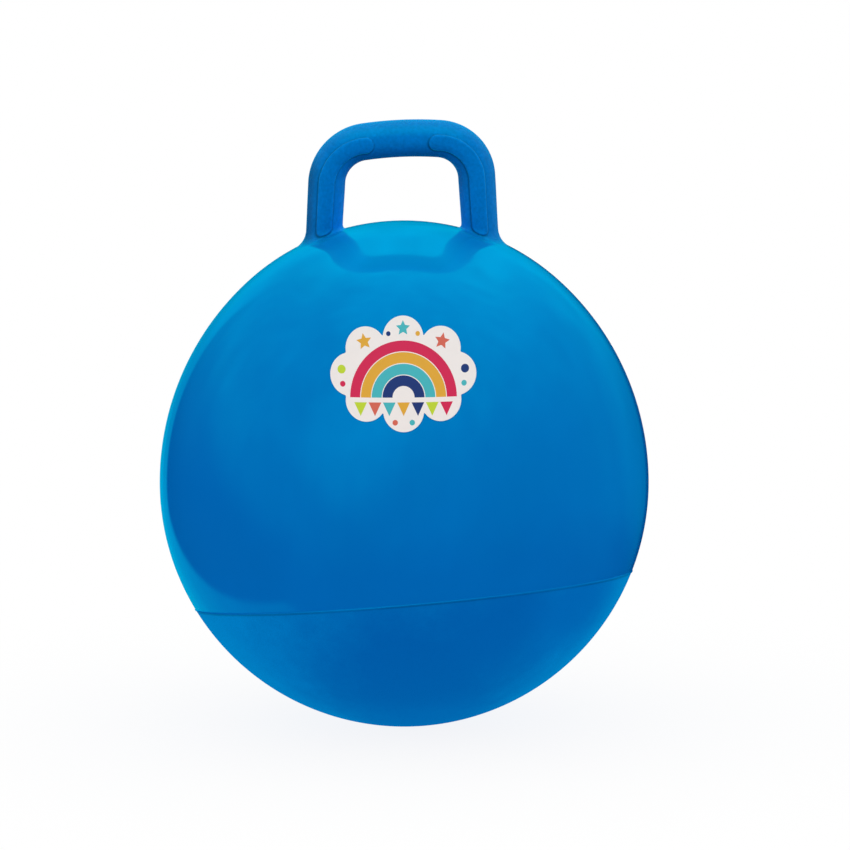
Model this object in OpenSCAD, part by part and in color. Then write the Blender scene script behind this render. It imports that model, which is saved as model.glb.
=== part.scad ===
// Hopper ball: an inflated ball with a hollow loop handle moulded on its crown,
// an air valve with a pull-out plug at the back and a contour-cut sticker in front.
// Millimetres. +Z is up, the front faces -Y, the origin is on the floor under the ball.

/* [Ball] */
// Diameter of the inflated ball at its widest ring
ball_d = 450; // [380:5:520]
// How much taller the upper half is than half the ball's diameter
crown_rise = 16; // [6:1:20]
// How much larger the shoulder's radius is than half the ball's diameter
shoulder_flare = 26; // [26:1:60]
// Thickness of the moulded skin
skin_t = 1; // [0.8:0.1:2]
// Diameter of the patch that the ball's weight presses flat on the floor
footprint_d = 64; // [40:2:90]

/* [Mould seam] */
// Depth of the mould seam below the widest ring
seam_drop = 99.5; // [80:0.5:120]
// Slope of the seam in degrees, rising to the right in the front view
seam_tilt = 4.6; // [0:0.2:6]
// Slope of the seam in degrees, rising from the back to the front
seam_pitch = 6.2; // [0:0.2:8]
// Radius of the bead that the mould leaves along the seam
seam_bead_r = 0.7; // [0.4:0.1:0.9]

/* [Handle] */
// Height of the handle's top above the crown
handle_rise = 93.6; // [85:0.1:120]
// Distance between the middle lines of the legs, where they meet the crown
leg_spacing = 143; // [126:1:166]
// Lean of each leg towards the other, in degrees
leg_lean = 3.3; // [0:0.1:5]
// Slope of the bar in degrees, rising to the right in the front view
bar_slope = 2; // [0:0.5:4]
// Radius of the bend from leg to bar, on the middle line
bend_r = 38; // [30:1:44]
// Radius of the bar's slight upward bow, on the middle line
bow_r = 340; // [260:10:900]
// Diameter of the bar and of the bends
bar_d = 34; // [28:0.5:38]
// Diameter of a leg above its foot
leg_d = 33.3; // [27:0.1:37]
// Wall of the hollow handle
handle_wall = 3; // [2:0.5:5]
// Reach and height of the fillet on the outward side of a leg's foot
foot_fillet = 12; // [8:1:15]
// Reach and height of the fillet on the inward side of a leg's foot
inner_fillet = 6; // [5:0.5:10]
// Thickness of the fillet's edge where it runs out on the ball
toe_t = 0.4; // [0.2:0.1:1]

/* [Grip ribs] */
// Width of a raised grip rib
rib_w = 14.5; // [10:0.5:18]
// Height that a rib stands out of the handle
rib_h = 1.2; // [0.6:0.1:2]
// Width of the slope round a rib
rib_edge = 0.8; // [0.4:0.1:1.5]
// Gap between the ends of the two ribs on one side of the bar
rib_gap = 51; // [36:1:62]
// How far a rib sits below the middle line of the bar
rib_drop = 2.5; // [0:0.5:6]
// How far a rib runs down over the fillet of its leg's foot
rib_reach = 7; // [0:0.5:10]

/* [Valve] */
// Tilt of the valve from straight up towards the back, in degrees
valve_tilt = 36; // [28:1:37]
// Diameter of the sleeve's collar, which fills the hole in the skin
collar_d = 18; // [16:0.5:24]
// Diameter of the sleeve's stem inside the ball
stem_d = 12; // [10:0.5:15]
// Length of the sleeve from its rim to the end of its stem
sleeve_len = 22; // [20:1:34]
// Diameter of the flange that is bonded to the skin from inside
flange_d = 32; // [26:1:44]
// Thickness of that flange
flange_t = 1.6; // [1:0.1:3]
// Bore of the sleeve
valve_bore_d = 7.2; // [6:0.1:8.5]
// Diameter of the plug's head
plug_head_d = 12.6; // [11:0.1:13.5]
// Thickness of the plug's head
plug_head_t = 1.5; // [1:0.1:2]
// Length of the plug's shaft below its head
plug_len = 18; // [12:1:20]
// Number of sealing rings on the shaft
seal_rings = 3; // [2:1:4]
// Length of one sealing ring
seal_len = 2; // [1.2:0.1:2.6]
// How far a sealing ring stands out of the shaft
seal_h = 0.3; // [0.1:0.05:0.6]
// Radius of the notch in the collar for a fingernail
notch_r = 1.8; // [1:0.1:2]

/* [Sticker] */
// Width of the sticker
sticker_w = 129; // [100:1:150]
// Height of the sticker
sticker_h = 96; // [84:1:120]
// Radius of the lobes round its edge
lobe_r = 18; // [15:1:22]
// Number of lobes
lobes = 8; // [8:4:16]
// Height of the sticker's middle above the widest ring
sticker_rise = 126; // [100:1:136]
// Thickness of the film
sticker_t = 0.25; // [0.15:0.05:0.6]

/* [Clearances] */
// Gap between pieces that are bonded together
seat_gap = 0.15; // [0.1:0.05:0.4]
// Gap between the plug's sealing rings and the bore, on the radius
plug_gap = 0.05; // [0.02:0.01:0.1]
// Gap round the plug's head in its recess, on the radius
head_gap = 0.3; // [0.2:0.05:0.6]

/* [Hidden] */
$fn = 96;

skin_blue = [0.01, 0.42, 0.71];
lower_blue = [0.01, 0.37, 0.65];
handle_blue = [0.01, 0.41, 0.70];
plug_white = [0.92, 0.93, 0.92];
sticker_cream = [0.93, 0.89, 0.87];

// Section of the ball: a round lower half, a shoulder arc and a crown arc, all tangent
ball_r = ball_d / 2;
ball_z = sqrt(ball_r ^ 2 - (footprint_d / 2) ^ 2);
shoulder_r = ball_r + shoulder_flare;
crown_dip = shoulder_flare - crown_rise;
crown_lift = (shoulder_flare ^ 2 - crown_dip ^ 2) / (2 * crown_dip);
crown_r = ball_r + crown_rise - crown_lift;
crown_z = ball_z + crown_lift;
crown_angle = atan2(crown_lift, shoulder_flare);
whole = 2 * ball_d;

// Middle line of the handle's right half: bowed bar, bend, leaning leg
bar_r = bar_d / 2;
leg_r = leg_d / 2;
bar_z = ball_z + ball_r + crown_rise + handle_rise - bar_r;
bow_z = bar_z - bow_r;
front = [0, -1, 0];
leg_up = [-sin(leg_lean), 0, cos(leg_lean)];
leg_out = [cos(leg_lean), 0, sin(leg_lean)];
foot = [leg_spacing / 2, 0, crown_z + sqrt(crown_r ^ 2 - (leg_spacing / 2) ^ 2)];
bend_start = foot - bend_r * leg_out - [0, 0, bow_z];
leg_len = reach(bend_start, leg_up, bow_r - bend_r);
bend_c = foot + leg_len * leg_up - bend_r * leg_out;
bar_angle = atan2(bend_c.x, bend_c.z - bow_z);
bend_angle = 90 - leg_lean - bar_angle;
bar_end = bow_r * bar_angle * PI / 180;
bend_end = bar_end + bend_r * bend_angle * PI / 180;

// Skins that the handle's feet stand on, and the fillet's size along the middle of the front
under_r = crown_r + seat_gap;
toe_r = under_r + toe_t;
bore_r = leg_r - handle_wall;
heel = bend_end + leg_len - crown_v(leg_r, 90, toe_r) - fillet(90);
toe = heel + fillet_length(90);

// Grip rib: from its end on the bar to its end on the foot
rib_half = rib_w / 2;
rib_from = rib_gap / 2;
rib_to = heel + rib_reach;
rib_steps = [0.06, 0.2, 0.5, 1];
rib_rows = [-1, -2 / 3, -1 / 3, 0, 1 / 3, 2 / 3, 1];
side_rows = 7;
long_rings = 15;
bore_rings = 14;

// Valve, along its own axis from the middle of the crown
rim_z = sqrt(crown_r ^ 2 - (collar_d / 2) ^ 2);
flange_r = crown_r - skin_t - seat_gap;
recess_t = plug_head_t + seat_gap;
recess_r = plug_head_d / 2 + head_gap;
seal_r = valve_bore_d / 2 - plug_gap;
shaft_r = seal_r - seal_h;

function mix(a, b, t) = a + (b - a) * t;

// Distance from point p along the unit vector u to the sphere of radius r round the origin
function reach(p, u, r) = sqrt((p * u) ^ 2 - p * p + r ^ 2) - p * u;

// Direction at angle a round a leg: 0 is outward, 90 the front, 180 inward
function leg_dir(a) = cos(a) * leg_out + sin(a) * front;

// Height along a leg at which the line at distance d and angle a meets the skin of radius r
function crown_v(d, a, r) = reach(foot + d * leg_dir(a) - [0, 0, crown_z], leg_up, r);
function on_crown(d, a, r) = foot + d * leg_dir(a) + crown_v(d, a, r) * leg_up;

// Bar or bend at distance s from the middle: its middle line and its outward direction
function bar_dir(s) =
    let (a = s < bar_end ? s / bow_r * 180 / PI : bar_angle + (s - bar_end) / bend_r * 180 / PI)
    [sin(a), 0, cos(a)];
function bar_mid(s) = s < bar_end ? [0, 0, bow_z] + bow_r * bar_dir(s) : bend_c + bend_r * bar_dir(s);

// Fillet of a foot at angle a: its size, and a curve from the toe on the ball to the heel on the leg
function fillet(a) = mix(inner_fillet, foot_fillet, (1 + cos(a)) / 2);
function fillet_toe(a) = on_crown(leg_r + fillet(a), a, toe_r);
function fillet_corner(a) = on_crown(leg_r, a, toe_r);
function fillet_heel(a) = fillet_corner(a) + fillet(a) * leg_up;
function fillet_length(a) =
    (2 * norm(fillet_heel(a) - fillet_toe(a)) + norm(fillet_corner(a) - fillet_toe(a)) + fillet(a)) / 3;
function fillet_point(a, t) =
    mix(mix(fillet_toe(a), fillet_corner(a), t), mix(fillet_corner(a), fillet_heel(a), t), t);
function fillet_normal(a, t) =
    let (d = mix(fillet_corner(a) - fillet_toe(a), fillet_heel(a) - fillet_corner(a), t))
    let (n = (d * leg_up) * leg_dir(a) - (d * leg_dir(a)) * leg_up)
    n / norm(n);

// Point of the handle's outside at distance s and angle a, raised by lift
function outside(s, a, lift) =
    s <= bend_end ? bar_mid(s) + (bar_r + lift) * (cos(a) * bar_dir(s) + sin(a) * front)
    : s < heel ? leg_outside((s - bend_end) / (heel - bend_end), a, lift)
    : let (t = 1 - (s - heel) / (toe - heel)) fillet_point(a, t) + lift * fillet_normal(a, t);
function leg_outside(t, a, lift) =
    let (v = mix(leg_len, crown_v(leg_r, a, toe_r) + fillet(a), t))
    foot + v * leg_up + (mix(bar_r, leg_r, t) + lift) * leg_dir(a);

// Point of the handle's bore at distance s and angle a
function inside(s, a) =
    s <= bend_end ? bar_mid(s) + (bar_r - handle_wall) * (cos(a) * bar_dir(s) + sin(a) * front)
    : leg_inside((s - bend_end) / (toe - bend_end), a);
function leg_inside(t, a) =
    let (v = mix(leg_len, crown_v(bore_r, a, under_r), t))
    foot + v * leg_up + mix(bar_r - handle_wall, bore_r, t) * leg_dir(a);

// Rib at distance s: half its width, which rounds off at its ends, and whether it is there
function rib_inset(s) = min(s - rib_from, rib_to - s);
function rib_size(s) =
    let (d = min(max(rib_inset(s) / rib_half, rib_steps[0]), 1)) rib_half * sqrt(1 - (1 - d) ^ 2);
function rib_lift(s) = rib_inset(s) > 0 ? rib_h : 0;
function rib_angle(s) =
    90 + asin(rib_drop / bar_r) * (1 - min(max((s - bar_end) / (bend_end - bar_end), 0), 1));

// Angles and lifts round one ring: front rib, inward side, back rib, outward side
function ring_angles(s) =
    let (mid = rib_angle(s))
    let (top = asin(rib_size(s) / bar_r))
    let (edge = asin((rib_size(s) + rib_edge) / bar_r))
    let (rib = concat([mid - edge], [for (k = rib_rows) mid + k * top], [mid + edge]))
    let (back = [for (i = [len(rib) - 1:-1:0]) 360 - rib[i]])
    concat(rib, between(mid + edge, 360 - mid - edge), back, between(360 - mid + edge, 360 + mid - edge));
function between(a, b) = [for (i = [1:side_rows]) mix(a, b, i / (side_rows + 1))];
ring_lifts =
    let (rib = concat([0], [for (k = rib_rows) 1], [0]))
    let (flat = [for (i = [1:side_rows]) 0])
    concat(rib, flat, rib, flat);

function outer_ring(s) =
    let (angles = ring_angles(s))
    [for (i = [0:len(angles) - 1]) outside(s, angles[i], ring_lifts[i] * rib_lift(s))];
function under_ring(share) = [for (a = ring_angles(toe)) on_crown(leg_r + share * fillet(a), a, under_r)];
function inner_ring(s) = [for (a = ring_angles(s)) inside(s, a)];
function left(ring) = [for (p = ring) [-p.x, p.y, p.z]];

// Slope of the bar, which starts above the feet and is whole at the bends
slope_from = foot.z + foot_fillet;
function slope_share(z) =
    let (t = min(max((z - slope_from) / (bend_c.z - slope_from), 0), 1)) t ^ 2 * (3 - 2 * t);
function sloped(ring) = [for (p = ring) p + [0, 0, tan(bar_slope) * slope_share(p.z) * p.x]];
function turned(list) = [for (i = [len(list) - 1:-1:0]) list[i]];

// Stations along the right half, from the middle of the bar to the toe of the foot
outer_stations = concat(
    [0, rib_from / 2, rib_from - rib_edge],
    [for (k = rib_steps) rib_from + k * rib_half],
    [for (i = [1:long_rings - 1]) mix(rib_from + rib_half, rib_to - rib_half, i / long_rings)],
    [for (k = turned(rib_steps)) rib_to - k * rib_half],
    [for (i = [0:3]) mix(rib_to + rib_edge, toe, i / 3)]);
inner_stations = [for (i = [0:bore_rings]) toe * i / bore_rings];
under_shares = [1, 1 / 3];

// Closed skin through rings that follow each other in a loop
module loft(rings) {
    n = len(rings[0]);
    m = len(rings);
    points = [for (ring = rings) each ring];
    faces = [
        for (i = [0:m - 1])
            for (j = [0:n - 1])
                let (a = i * n + j)
                let (b = i * n + (j + 1) % n)
                let (c = (i + 1) % m * n + (j + 1) % n)
                let (d = (i + 1) % m * n + j)
                each [[a, b, c], [a, c, d]]
    ];
    polyhedron(points, faces);
}

// Half section of the ball, drawn in by inset on every side
module ball_section(inset) {
    low_r = ball_r - inset;
    mid_r = shoulder_r - inset;
    join_h = mid_r * sin(crown_angle);
    intersection() {
        translate([0, ball_z])
            circle(low_r);
        translate([0, inset])
            square([ball_r + ball_d, ball_z - inset]);
    }
    intersection() {
        translate([-shoulder_flare, ball_z])
            circle(mid_r);
        translate([0, ball_z])
            square([ball_r + ball_d, join_h]);
    }
    intersection() {
        translate([0, crown_z])
            circle(crown_r - inset);
        translate([0, ball_z + join_h])
            square([ball_r + ball_d, ball_d]);
    }
}

// Layer between two depths below the surface of the ball
module ball_layer(outer_inset, inner_inset) {
    rotate_extrude()
        difference() {
            ball_section(outer_inset);
            ball_section(inner_inset);
        }
}

module at_seam() {
    translate([0, 0, ball_z])
        rotate([-seam_pitch, -seam_tilt, 0])
            translate([0, 0, -seam_drop])
                children();
}

module above_seam() {
    at_seam()
        translate([-whole / 2, -whole / 2, 0])
            cube(whole);
}

// Whole skin of the ball with the bead along its seam
module ball_skin() {
    ball_layer(0, skin_t);
    at_seam()
        rotate_extrude()
            translate([sqrt(ball_r ^ 2 - seam_drop ^ 2), 0])
                circle(seam_bead_r);
}

module at_valve() {
    translate([0, 0, crown_z])
        rotate([-valve_tilt, 0, 0])
            children();
}

// Air ways from the ball into the hollow legs
module leg_ports() {
    for (side = [-1, 1])
        translate([side * foot.x, 0, foot.z])
            rotate([0, -side * leg_lean, 0])
                cylinder(h = 4 * bore_r, r = bore_r, center = true);
}

module upper_shell() {
    color(skin_blue)
        difference() {
            intersection() {
                ball_skin();
                above_seam();
            }
            leg_ports();
            at_valve()
                cylinder(h = whole, r = collar_d / 2 + seat_gap);
        }
}

module lower_shell() {
    color(lower_blue)
        difference() {
            ball_skin();
            above_seam();
        }
}

module handle() {
    outer = [for (s = outer_stations) outer_ring(s)];
    under = [for (share = under_shares) under_ring(share)];
    inner = [for (s = inner_stations) inner_ring(s)];
    right_bore = [for (i = [1:len(inner) - 1]) inner[i]];
    left_outer = [for (i = [1:len(outer) - 1]) left(outer[i])];
    left_under = [for (ring = under) left(ring)];
    left_bore = [for (ring = turned(inner)) left(ring)];
    rings = concat(turned(outer), left_outer, left_under, left_bore, right_bore, turned(under));
    color(handle_blue)
        loft([for (ring = rings) sloped(ring)]);
}

module valve_sleeve() {
    color(skin_blue)
        at_valve()
            difference() {
                union() {
                    translate([0, 0, rim_z - sleeve_len])
                        cylinder(h = sleeve_len, d = stem_d);
                    translate([0, 0, rim_z - skin_t - flange_t])
                        cylinder(h = skin_t + flange_t, d = collar_d);
                    rotate_extrude()
                        intersection() {
                            difference() {
                                circle(flange_r);
                                circle(flange_r - flange_t);
                            }
                            square([flange_d / 2, crown_r]);
                        }
                }
                cylinder(h = whole, d = valve_bore_d);
                translate([0, 0, rim_z - recess_t])
                    cylinder(h = whole, r = recess_r);
                translate([0, recess_r, rim_z - recess_t])
                    cylinder(h = whole, r = notch_r);
            }
}

// Plug: a flat head, a shaft and sealing rings that taper towards its tip
module valve_plug() {
    pitch = plug_len / (seal_rings + 1);
    head_chamfer = plug_head_t / 4;
    color(plug_white)
        at_valve()
            translate([0, 0, rim_z - plug_head_t]) {
                cylinder(h = plug_head_t - head_chamfer, d = plug_head_d);
                translate([0, 0, plug_head_t - head_chamfer])
                    cylinder(h = head_chamfer, d1 = plug_head_d, d2 = plug_head_d - 2 * head_chamfer);
                translate([0, 0, seal_h - plug_len])
                    cylinder(h = plug_len - seal_h, r = shaft_r);
                translate([0, 0, -plug_len])
                    cylinder(h = seal_h, r1 = shaft_r - seal_h, r2 = shaft_r);
                for (i = [1:seal_rings])
                    translate([0, 0, -i * pitch - seal_len / 2])
                        cylinder(h = seal_len, r1 = shaft_r - seal_h / 4, r2 = seal_r);
            }
}

// Outline of the sticker: an oval with a lobed edge
module sticker_outline() {
    ring_w = sticker_w / 2 - lobe_r;
    ring_h = sticker_h / 2 - lobe_r;
    for (i = [0:lobes - 1])
        translate([ring_w * cos(i * 360 / lobes), ring_h * sin(i * 360 / lobes)])
            circle(lobe_r);
    for (side = [-1, 1])
        translate([side * (ring_w - ring_h), 0])
            circle(ring_h);
}

module front_sticker() {
    color(sticker_cream)
        intersection() {
            ball_layer(-seat_gap - sticker_t, -seat_gap);
            translate([0, 0, ball_z + sticker_rise])
                rotate([90, 0, 0])
                    linear_extrude(ball_d)
                        sticker_outline();
        }
}

upper_shell();
lower_shell();
handle();
valve_sleeve();
valve_plug();
front_sticker();
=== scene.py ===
"""Looks of the hopper ball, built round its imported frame. Lengths are millimetres, +Z is up."""
import logging
import math
from dataclasses import dataclass
from enum import Enum

import bpy
import numpy as np
from mathutils import Matrix, Vector
from mathutils.geometry import delaunay_2d_cdt


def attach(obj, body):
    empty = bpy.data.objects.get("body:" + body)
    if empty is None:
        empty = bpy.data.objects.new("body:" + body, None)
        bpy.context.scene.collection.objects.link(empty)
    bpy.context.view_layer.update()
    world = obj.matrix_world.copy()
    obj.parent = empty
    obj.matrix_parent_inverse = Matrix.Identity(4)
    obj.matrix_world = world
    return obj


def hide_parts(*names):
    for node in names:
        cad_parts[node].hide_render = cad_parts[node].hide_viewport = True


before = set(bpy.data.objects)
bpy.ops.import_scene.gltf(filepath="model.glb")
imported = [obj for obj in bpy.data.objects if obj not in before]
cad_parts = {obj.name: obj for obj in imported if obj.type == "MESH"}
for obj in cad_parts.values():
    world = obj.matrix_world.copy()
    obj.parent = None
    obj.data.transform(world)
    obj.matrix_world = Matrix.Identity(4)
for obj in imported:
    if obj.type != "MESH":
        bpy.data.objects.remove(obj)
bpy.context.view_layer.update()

MM = 0.001
FULL_TURN = 2.0 * math.pi
SIDES = (1.0, -1.0)
WELD = 1e-6
LOG = logging.getLogger("hopper_ball")
Array = np.ndarray
Socket = bpy.types.NodeSocket
Pair = tuple[float, float]
Colour = tuple[float, float, float]
Point = tuple[float, float, float]
RIGHT: Point = (1.0, 0.0, 0.0)
BACK: Point = (0.0, 1.0, 0.0)
FRONT: Point = (0.0, -1.0, 0.0)
UP: Point = (0.0, 0.0, 1.0)
PANEL: Point = (-0.982, 0.184, 0.034)


class Body(Enum):
    """Bodies of the frame that pieces ride on."""

    BALL = "ball"


class Slot(Enum):
    """Material slots of the record."""

    GLOSS = "skin_gloss"
    MATT = "skin_matt"
    HANDLE = "handle_satin"
    FILM = "sticker_film"


def smooth(low: float, high: float, value: Array) -> Array:
    """Step softly from 0 at low to 1 at high."""
    t = np.clip((value - low) / (high - low), 0.0, 1.0)
    return t * t * (3.0 - 2.0 * t)


def mix(a: Array, b: Array, t: Array) -> Array:
    """Blend from a to b."""
    return a + (b - a) * t


def unit(vectors: Array) -> Array:
    """Scale vectors to a length of 1."""
    return vectors / np.linalg.norm(vectors, axis=-1, keepdims=True)


def within(loop: Array, points: Array) -> Array:
    """Tell which points of a plane lie inside a closed loop.

    Args:
        loop: Corners of the loop in order, one row each.
        points: Points to test, one row each.

    Returns:
        One truth value for each point.
    """
    inside = np.zeros(len(points), dtype=bool)
    for start, end in zip(loop, np.roll(loop, -1, axis=0)):
        spans = (start[1] > points[:, 1]) != (end[1] > points[:, 1])
        rise = end[1] - start[1] if end[1] != start[1] else 1.0
        crossing = start[0] + (points[:, 1] - start[1]) * (end[0] - start[0]) / rise
        inside ^= spans & (points[:, 0] < crossing)
    return inside


def lattice(half_w: float, half_h: float, pitch: float) -> Array:
    """Lay points in offset rows over a rectangle round the origin.

    Args:
        half_w: Half the width that is covered.
        half_h: Half the height that is covered.
        pitch: Distance between neighbours.

    Returns:
        The points, one row each.
    """
    rows = np.arange(-half_h, half_h, pitch * math.sqrt(0.75))
    columns = np.arange(-half_w, half_w, pitch)
    return np.concatenate([
        np.stack([columns + (i % 2) * pitch / 2, np.full(len(columns), y)], axis=1)
        for i, y in enumerate(rows)
    ])


def triangulate(loops: list[Array], free: Array) -> tuple[Array, Array]:
    """Fill the hull of some loops with triangles that keep the loops as edges.

    Args:
        loops: Closed loops in a plane.
        free: Further points to use between them.

    Returns:
        The points of the loops and the free points that were used, and the triangles.
    """
    points = np.concatenate(loops + [free])
    edges: list[tuple[int, int]] = []
    start = 0
    for loop in loops:
        count = len(loop)
        edges += [(start + i, start + (i + 1) % count) for i in range(count)]
        start += count
    made = delaunay_2d_cdt([Vector(p) for p in points], edges, [], 0, WELD)
    placed = np.array([tuple(p) for p in made[0]])
    return placed, np.array([tuple(face) for face in made[2]])


def anticlockwise(points: Array, triangles: Array) -> Array:
    """Turn triangles of a plane so that their corners run anticlockwise.

    Args:
        points: Points of the plane, one row each.
        triangles: Corners of the triangles.

    Returns:
        The turned triangles.
    """
    corners = points[triangles]
    ways = corners[:, 1:] - corners[:, :1]
    turned = ways[:, 0, 0] * ways[:, 1, 1] - ways[:, 0, 1] * ways[:, 1, 0] < 0.0
    return np.where(turned[:, None], triangles[:, ::-1], triangles)


@dataclass
class Sheet:
    """Points, their normals and the faces of one skin."""

    points: Array
    normals: Array
    faces: list[list[int]]

    def lined(self, depth: float) -> "Sheet":
        """Close the skin with a lining behind it and a rim along its open edges.

        Args:
            depth: Distance of the lining behind the skin.

        Returns:
            The closed skin.
        """
        count = len(self.points)
        edges = {(a, b) for face in self.faces for a, b in zip(face, face[1:] + face[:1])}
        rims = [[b, a, a + count, b + count] for a, b in edges if (b, a) not in edges]
        backs = [[i + count for i in reversed(face)] for face in self.faces]
        return Sheet(
            np.concatenate([self.points, self.points - depth * self.normals]),
            np.concatenate([self.normals, -self.normals]),
            self.faces + backs + rims,
        )

    def make(self, name: str) -> bpy.types.Object:
        """Turn the skin into an object of the scene.

        Args:
            name: Name of the object and of its mesh.

        Returns:
            The object, smooth and with the skin's own normals.
        """
        mesh = bpy.data.meshes.new(name)
        mesh.from_pydata((self.points * MM).tolist(), [], self.faces)
        mesh.polygons.foreach_set("use_smooth", [True] * len(mesh.polygons))
        mesh.normals_split_custom_set_from_vertices(self.normals.tolist())
        obj = bpy.data.objects.new(name, mesh)
        bpy.context.scene.collection.objects.link(obj)
        return obj


def grid_faces(rows: int, columns: int) -> list[list[int]]:
    """List the quads between rings of points that follow each other.

    Args:
        rows: Number of rings.
        columns: Points in one closed ring.

    Returns:
        The corners of each quad.
    """
    return [
        [i * columns + j, (i + 1) * columns + j,
         (i + 1) * columns + (j + 1) % columns, i * columns + (j + 1) % columns]
        for i in range(rows - 1) for j in range(columns)
    ]


def disc_faces(rings: int, turns: int) -> list[list[int]]:
    """List the faces of rings round a middle point, which comes last.

    Args:
        rings: Number of rings.
        turns: Points in each ring.

    Returns:
        The corners of each face.
    """
    base = (rings - 1) * turns
    fan = [[base + i, rings * turns, base + (i + 1) % turns] for i in range(turns)]
    return grid_faces(rings, turns) + fan


@dataclass(frozen=True)
class BallForm:
    """Section of the inflated ball: round lower half, shoulder arc and crown arc, all tangent.

    A place on the skin is given by the rise of its normal above the horizon and by its turn
    round the upright axis, both in radians.
    """

    diameter: float = 450.0
    crown_rise: float = 16.0
    shoulder_flare: float = 26.0
    footprint: float = 64.0
    skin: float = 1.0
    seam_drop: float = 99.5
    seam_tilt: float = 4.6
    seam_pitch: float = 6.2
    bead: float = 0.7
    bead_width: float = 0.75
    ease: float = 0.36
    ease_from: Pair = (50.0, 88.0)
    ease_to: Pair = (108.0, 170.0)
    ease_side: Pair = (80.0, 130.0)

    @property
    def radius(self) -> float:
        """Radius of the lower half."""
        return self.diameter / 2.0

    @property
    def middle(self) -> float:
        """Height of the widest ring above the floor."""
        return math.sqrt(self.radius ** 2 - (self.footprint / 2.0) ** 2)

    @property
    def shoulder(self) -> float:
        """Radius of the shoulder arc."""
        return self.radius + self.shoulder_flare

    @property
    def crown_lift(self) -> float:
        """Height of the crown arc's centre above the widest ring."""
        dip = self.shoulder_flare - self.crown_rise
        return (self.shoulder_flare ** 2 - dip ** 2) / (2.0 * dip)

    @property
    def crown(self) -> float:
        """Radius of the crown arc."""
        return self.radius + self.crown_rise - self.crown_lift

    @property
    def crown_centre(self) -> Array:
        """Centre of the crown."""
        return np.array([0.0, 0.0, self.middle + self.crown_lift])

    @property
    def crown_from(self) -> float:
        """Rise of the normal where the shoulder turns into the crown."""
        return math.atan2(self.crown_lift, self.shoulder_flare)

    @property
    def foot_rise(self) -> float:
        """Rise of the normal at the edge of the flat patch."""
        return -math.asin(self.middle / self.radius)

    def normals(self, rise: Array, turn: Array) -> Array:
        """Give the outward normals at some places."""
        level = np.cos(rise)
        return np.stack([level * np.cos(turn), level * np.sin(turn), np.sin(rise) + 0.0 * turn], axis=-1)

    def places(self, rise: Array, turn: Array, lift: Array | float = 0.0) -> Array:
        """Give points on the skin.

        Args:
            rise: Rise of the normal.
            turn: Turn round the upright axis.
            lift: Distance outside the skin.

        Returns:
            The points.
        """
        low, high = rise < 0.0, rise > self.crown_from
        arc = np.select([low, high], [self.radius, self.crown], self.shoulder)
        inset = np.select([low, high], [0.0, 0.0], self.shoulder_flare)
        centre = np.where(high, self.crown_centre[2], self.middle)
        reach = arc * np.cos(rise) - inset
        height = centre + arc * np.sin(rise)
        points = np.stack([reach * np.cos(turn), reach * np.sin(turn), height + 0.0 * turn], axis=-1)
        return points + np.asarray(lift)[..., None] * self.normals(rise, turn)

    @property
    def seam_normal(self) -> Array:
        """Upward normal of the seam's plane."""
        tilt, pitch = math.radians(self.seam_tilt), math.radians(self.seam_pitch)
        level = math.cos(pitch)
        return np.array([-math.sin(tilt) * level, math.sin(pitch), math.cos(tilt) * level])

    def eased(self, points: Array, normals: Array) -> Array:
        """Flatten the crown's shading before and behind the handle, whose feet draw the skin up.

        Args:
            points: Points of the skin.
            normals: Their normals.

        Returns:
            The eased normals.
        """
        deep, wide = np.abs(points[..., 1]), np.abs(points[..., 0])
        share = smooth(*self.ease_from, deep) * (1.0 - smooth(*self.ease_to, deep))
        share = share * (1.0 - smooth(*self.ease_side, wide))
        share = np.where(points[..., 2] > self.middle, share, 0.0)
        same = np.ones_like(share)
        return unit(normals * np.stack([same, 1.0 - self.ease * share, same], axis=-1))

    def rise_at(self, height: Array) -> Array:
        """Give the rise of the normal in the upper half.

        Args:
            height: Heights above the floor.

        Returns:
            The rises.
        """
        join = self.middle + self.shoulder * math.sin(self.crown_from)
        shoulder = np.arcsin(np.clip((height - self.middle) / self.shoulder, -1.0, 1.0))
        crown = np.arcsin(np.clip((height - self.crown_centre[2]) / self.crown, -1.0, 1.0))
        return np.where(height < join, shoulder, crown)

    def seam_rise(self, turn: Array) -> Array:
        """Give the rise of the normal along the seam, which is higher at the right and in front.

        Args:
            turn: Turns round the upright axis.

        Returns:
            The rises.
        """
        x, y, level = self.seam_normal
        slope = -x * np.cos(turn) - y * np.sin(turn)
        size = np.hypot(level, slope)
        return np.arctan2(slope, level) - np.arcsin(self.seam_drop / (self.radius * size))

    def front(self, x: Array, z: Array, lift: float) -> tuple[Array, Array]:
        """Lay points of the front view onto the upper half.

        Args:
            x: Places to the right.
            z: Heights above the floor.
            lift: Distance outside the skin.

        Returns:
            The points and their normals.
        """
        rise = self.rise_at(z)
        reach = np.hypot(*self.places(rise, 0.0 * rise)[..., :2].T)
        turn = np.arctan2(-np.sqrt(reach ** 2 - x ** 2), x)
        return self.places(rise, turn, lift), self.normals(rise, turn)

    def band(self, rise: Array, turn: Array, gap: Array, side: float) -> tuple[Array, Array]:
        """Give the skin near the seam, with half of the bead on it.

        Args:
            rise: Rise of the normal.
            turn: Turn round the upright axis.
            gap: Distance from the seam.
            side: 1 above the seam and -1 below it.

        Returns:
            The points and their normals.
        """
        lift = self.bead * np.exp(-(gap / self.bead_width) ** 2)
        slope = -2.0 * gap / self.bead_width ** 2 * lift * side
        uphill = self.normals(rise + math.pi / 2.0, turn)
        return self.places(rise, turn, lift), unit(self.normals(rise, turn) - slope[..., None] * uphill)


@dataclass(frozen=True)
class ValveForm:
    """Place of the valve on the crown."""

    tilt: float = 36.0
    hole: float = 9.15

    @property
    def axis(self) -> Array:
        """Direction in which the plug comes out."""
        return np.array([0.0, math.sin(math.radians(self.tilt)), math.cos(math.radians(self.tilt))])


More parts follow.
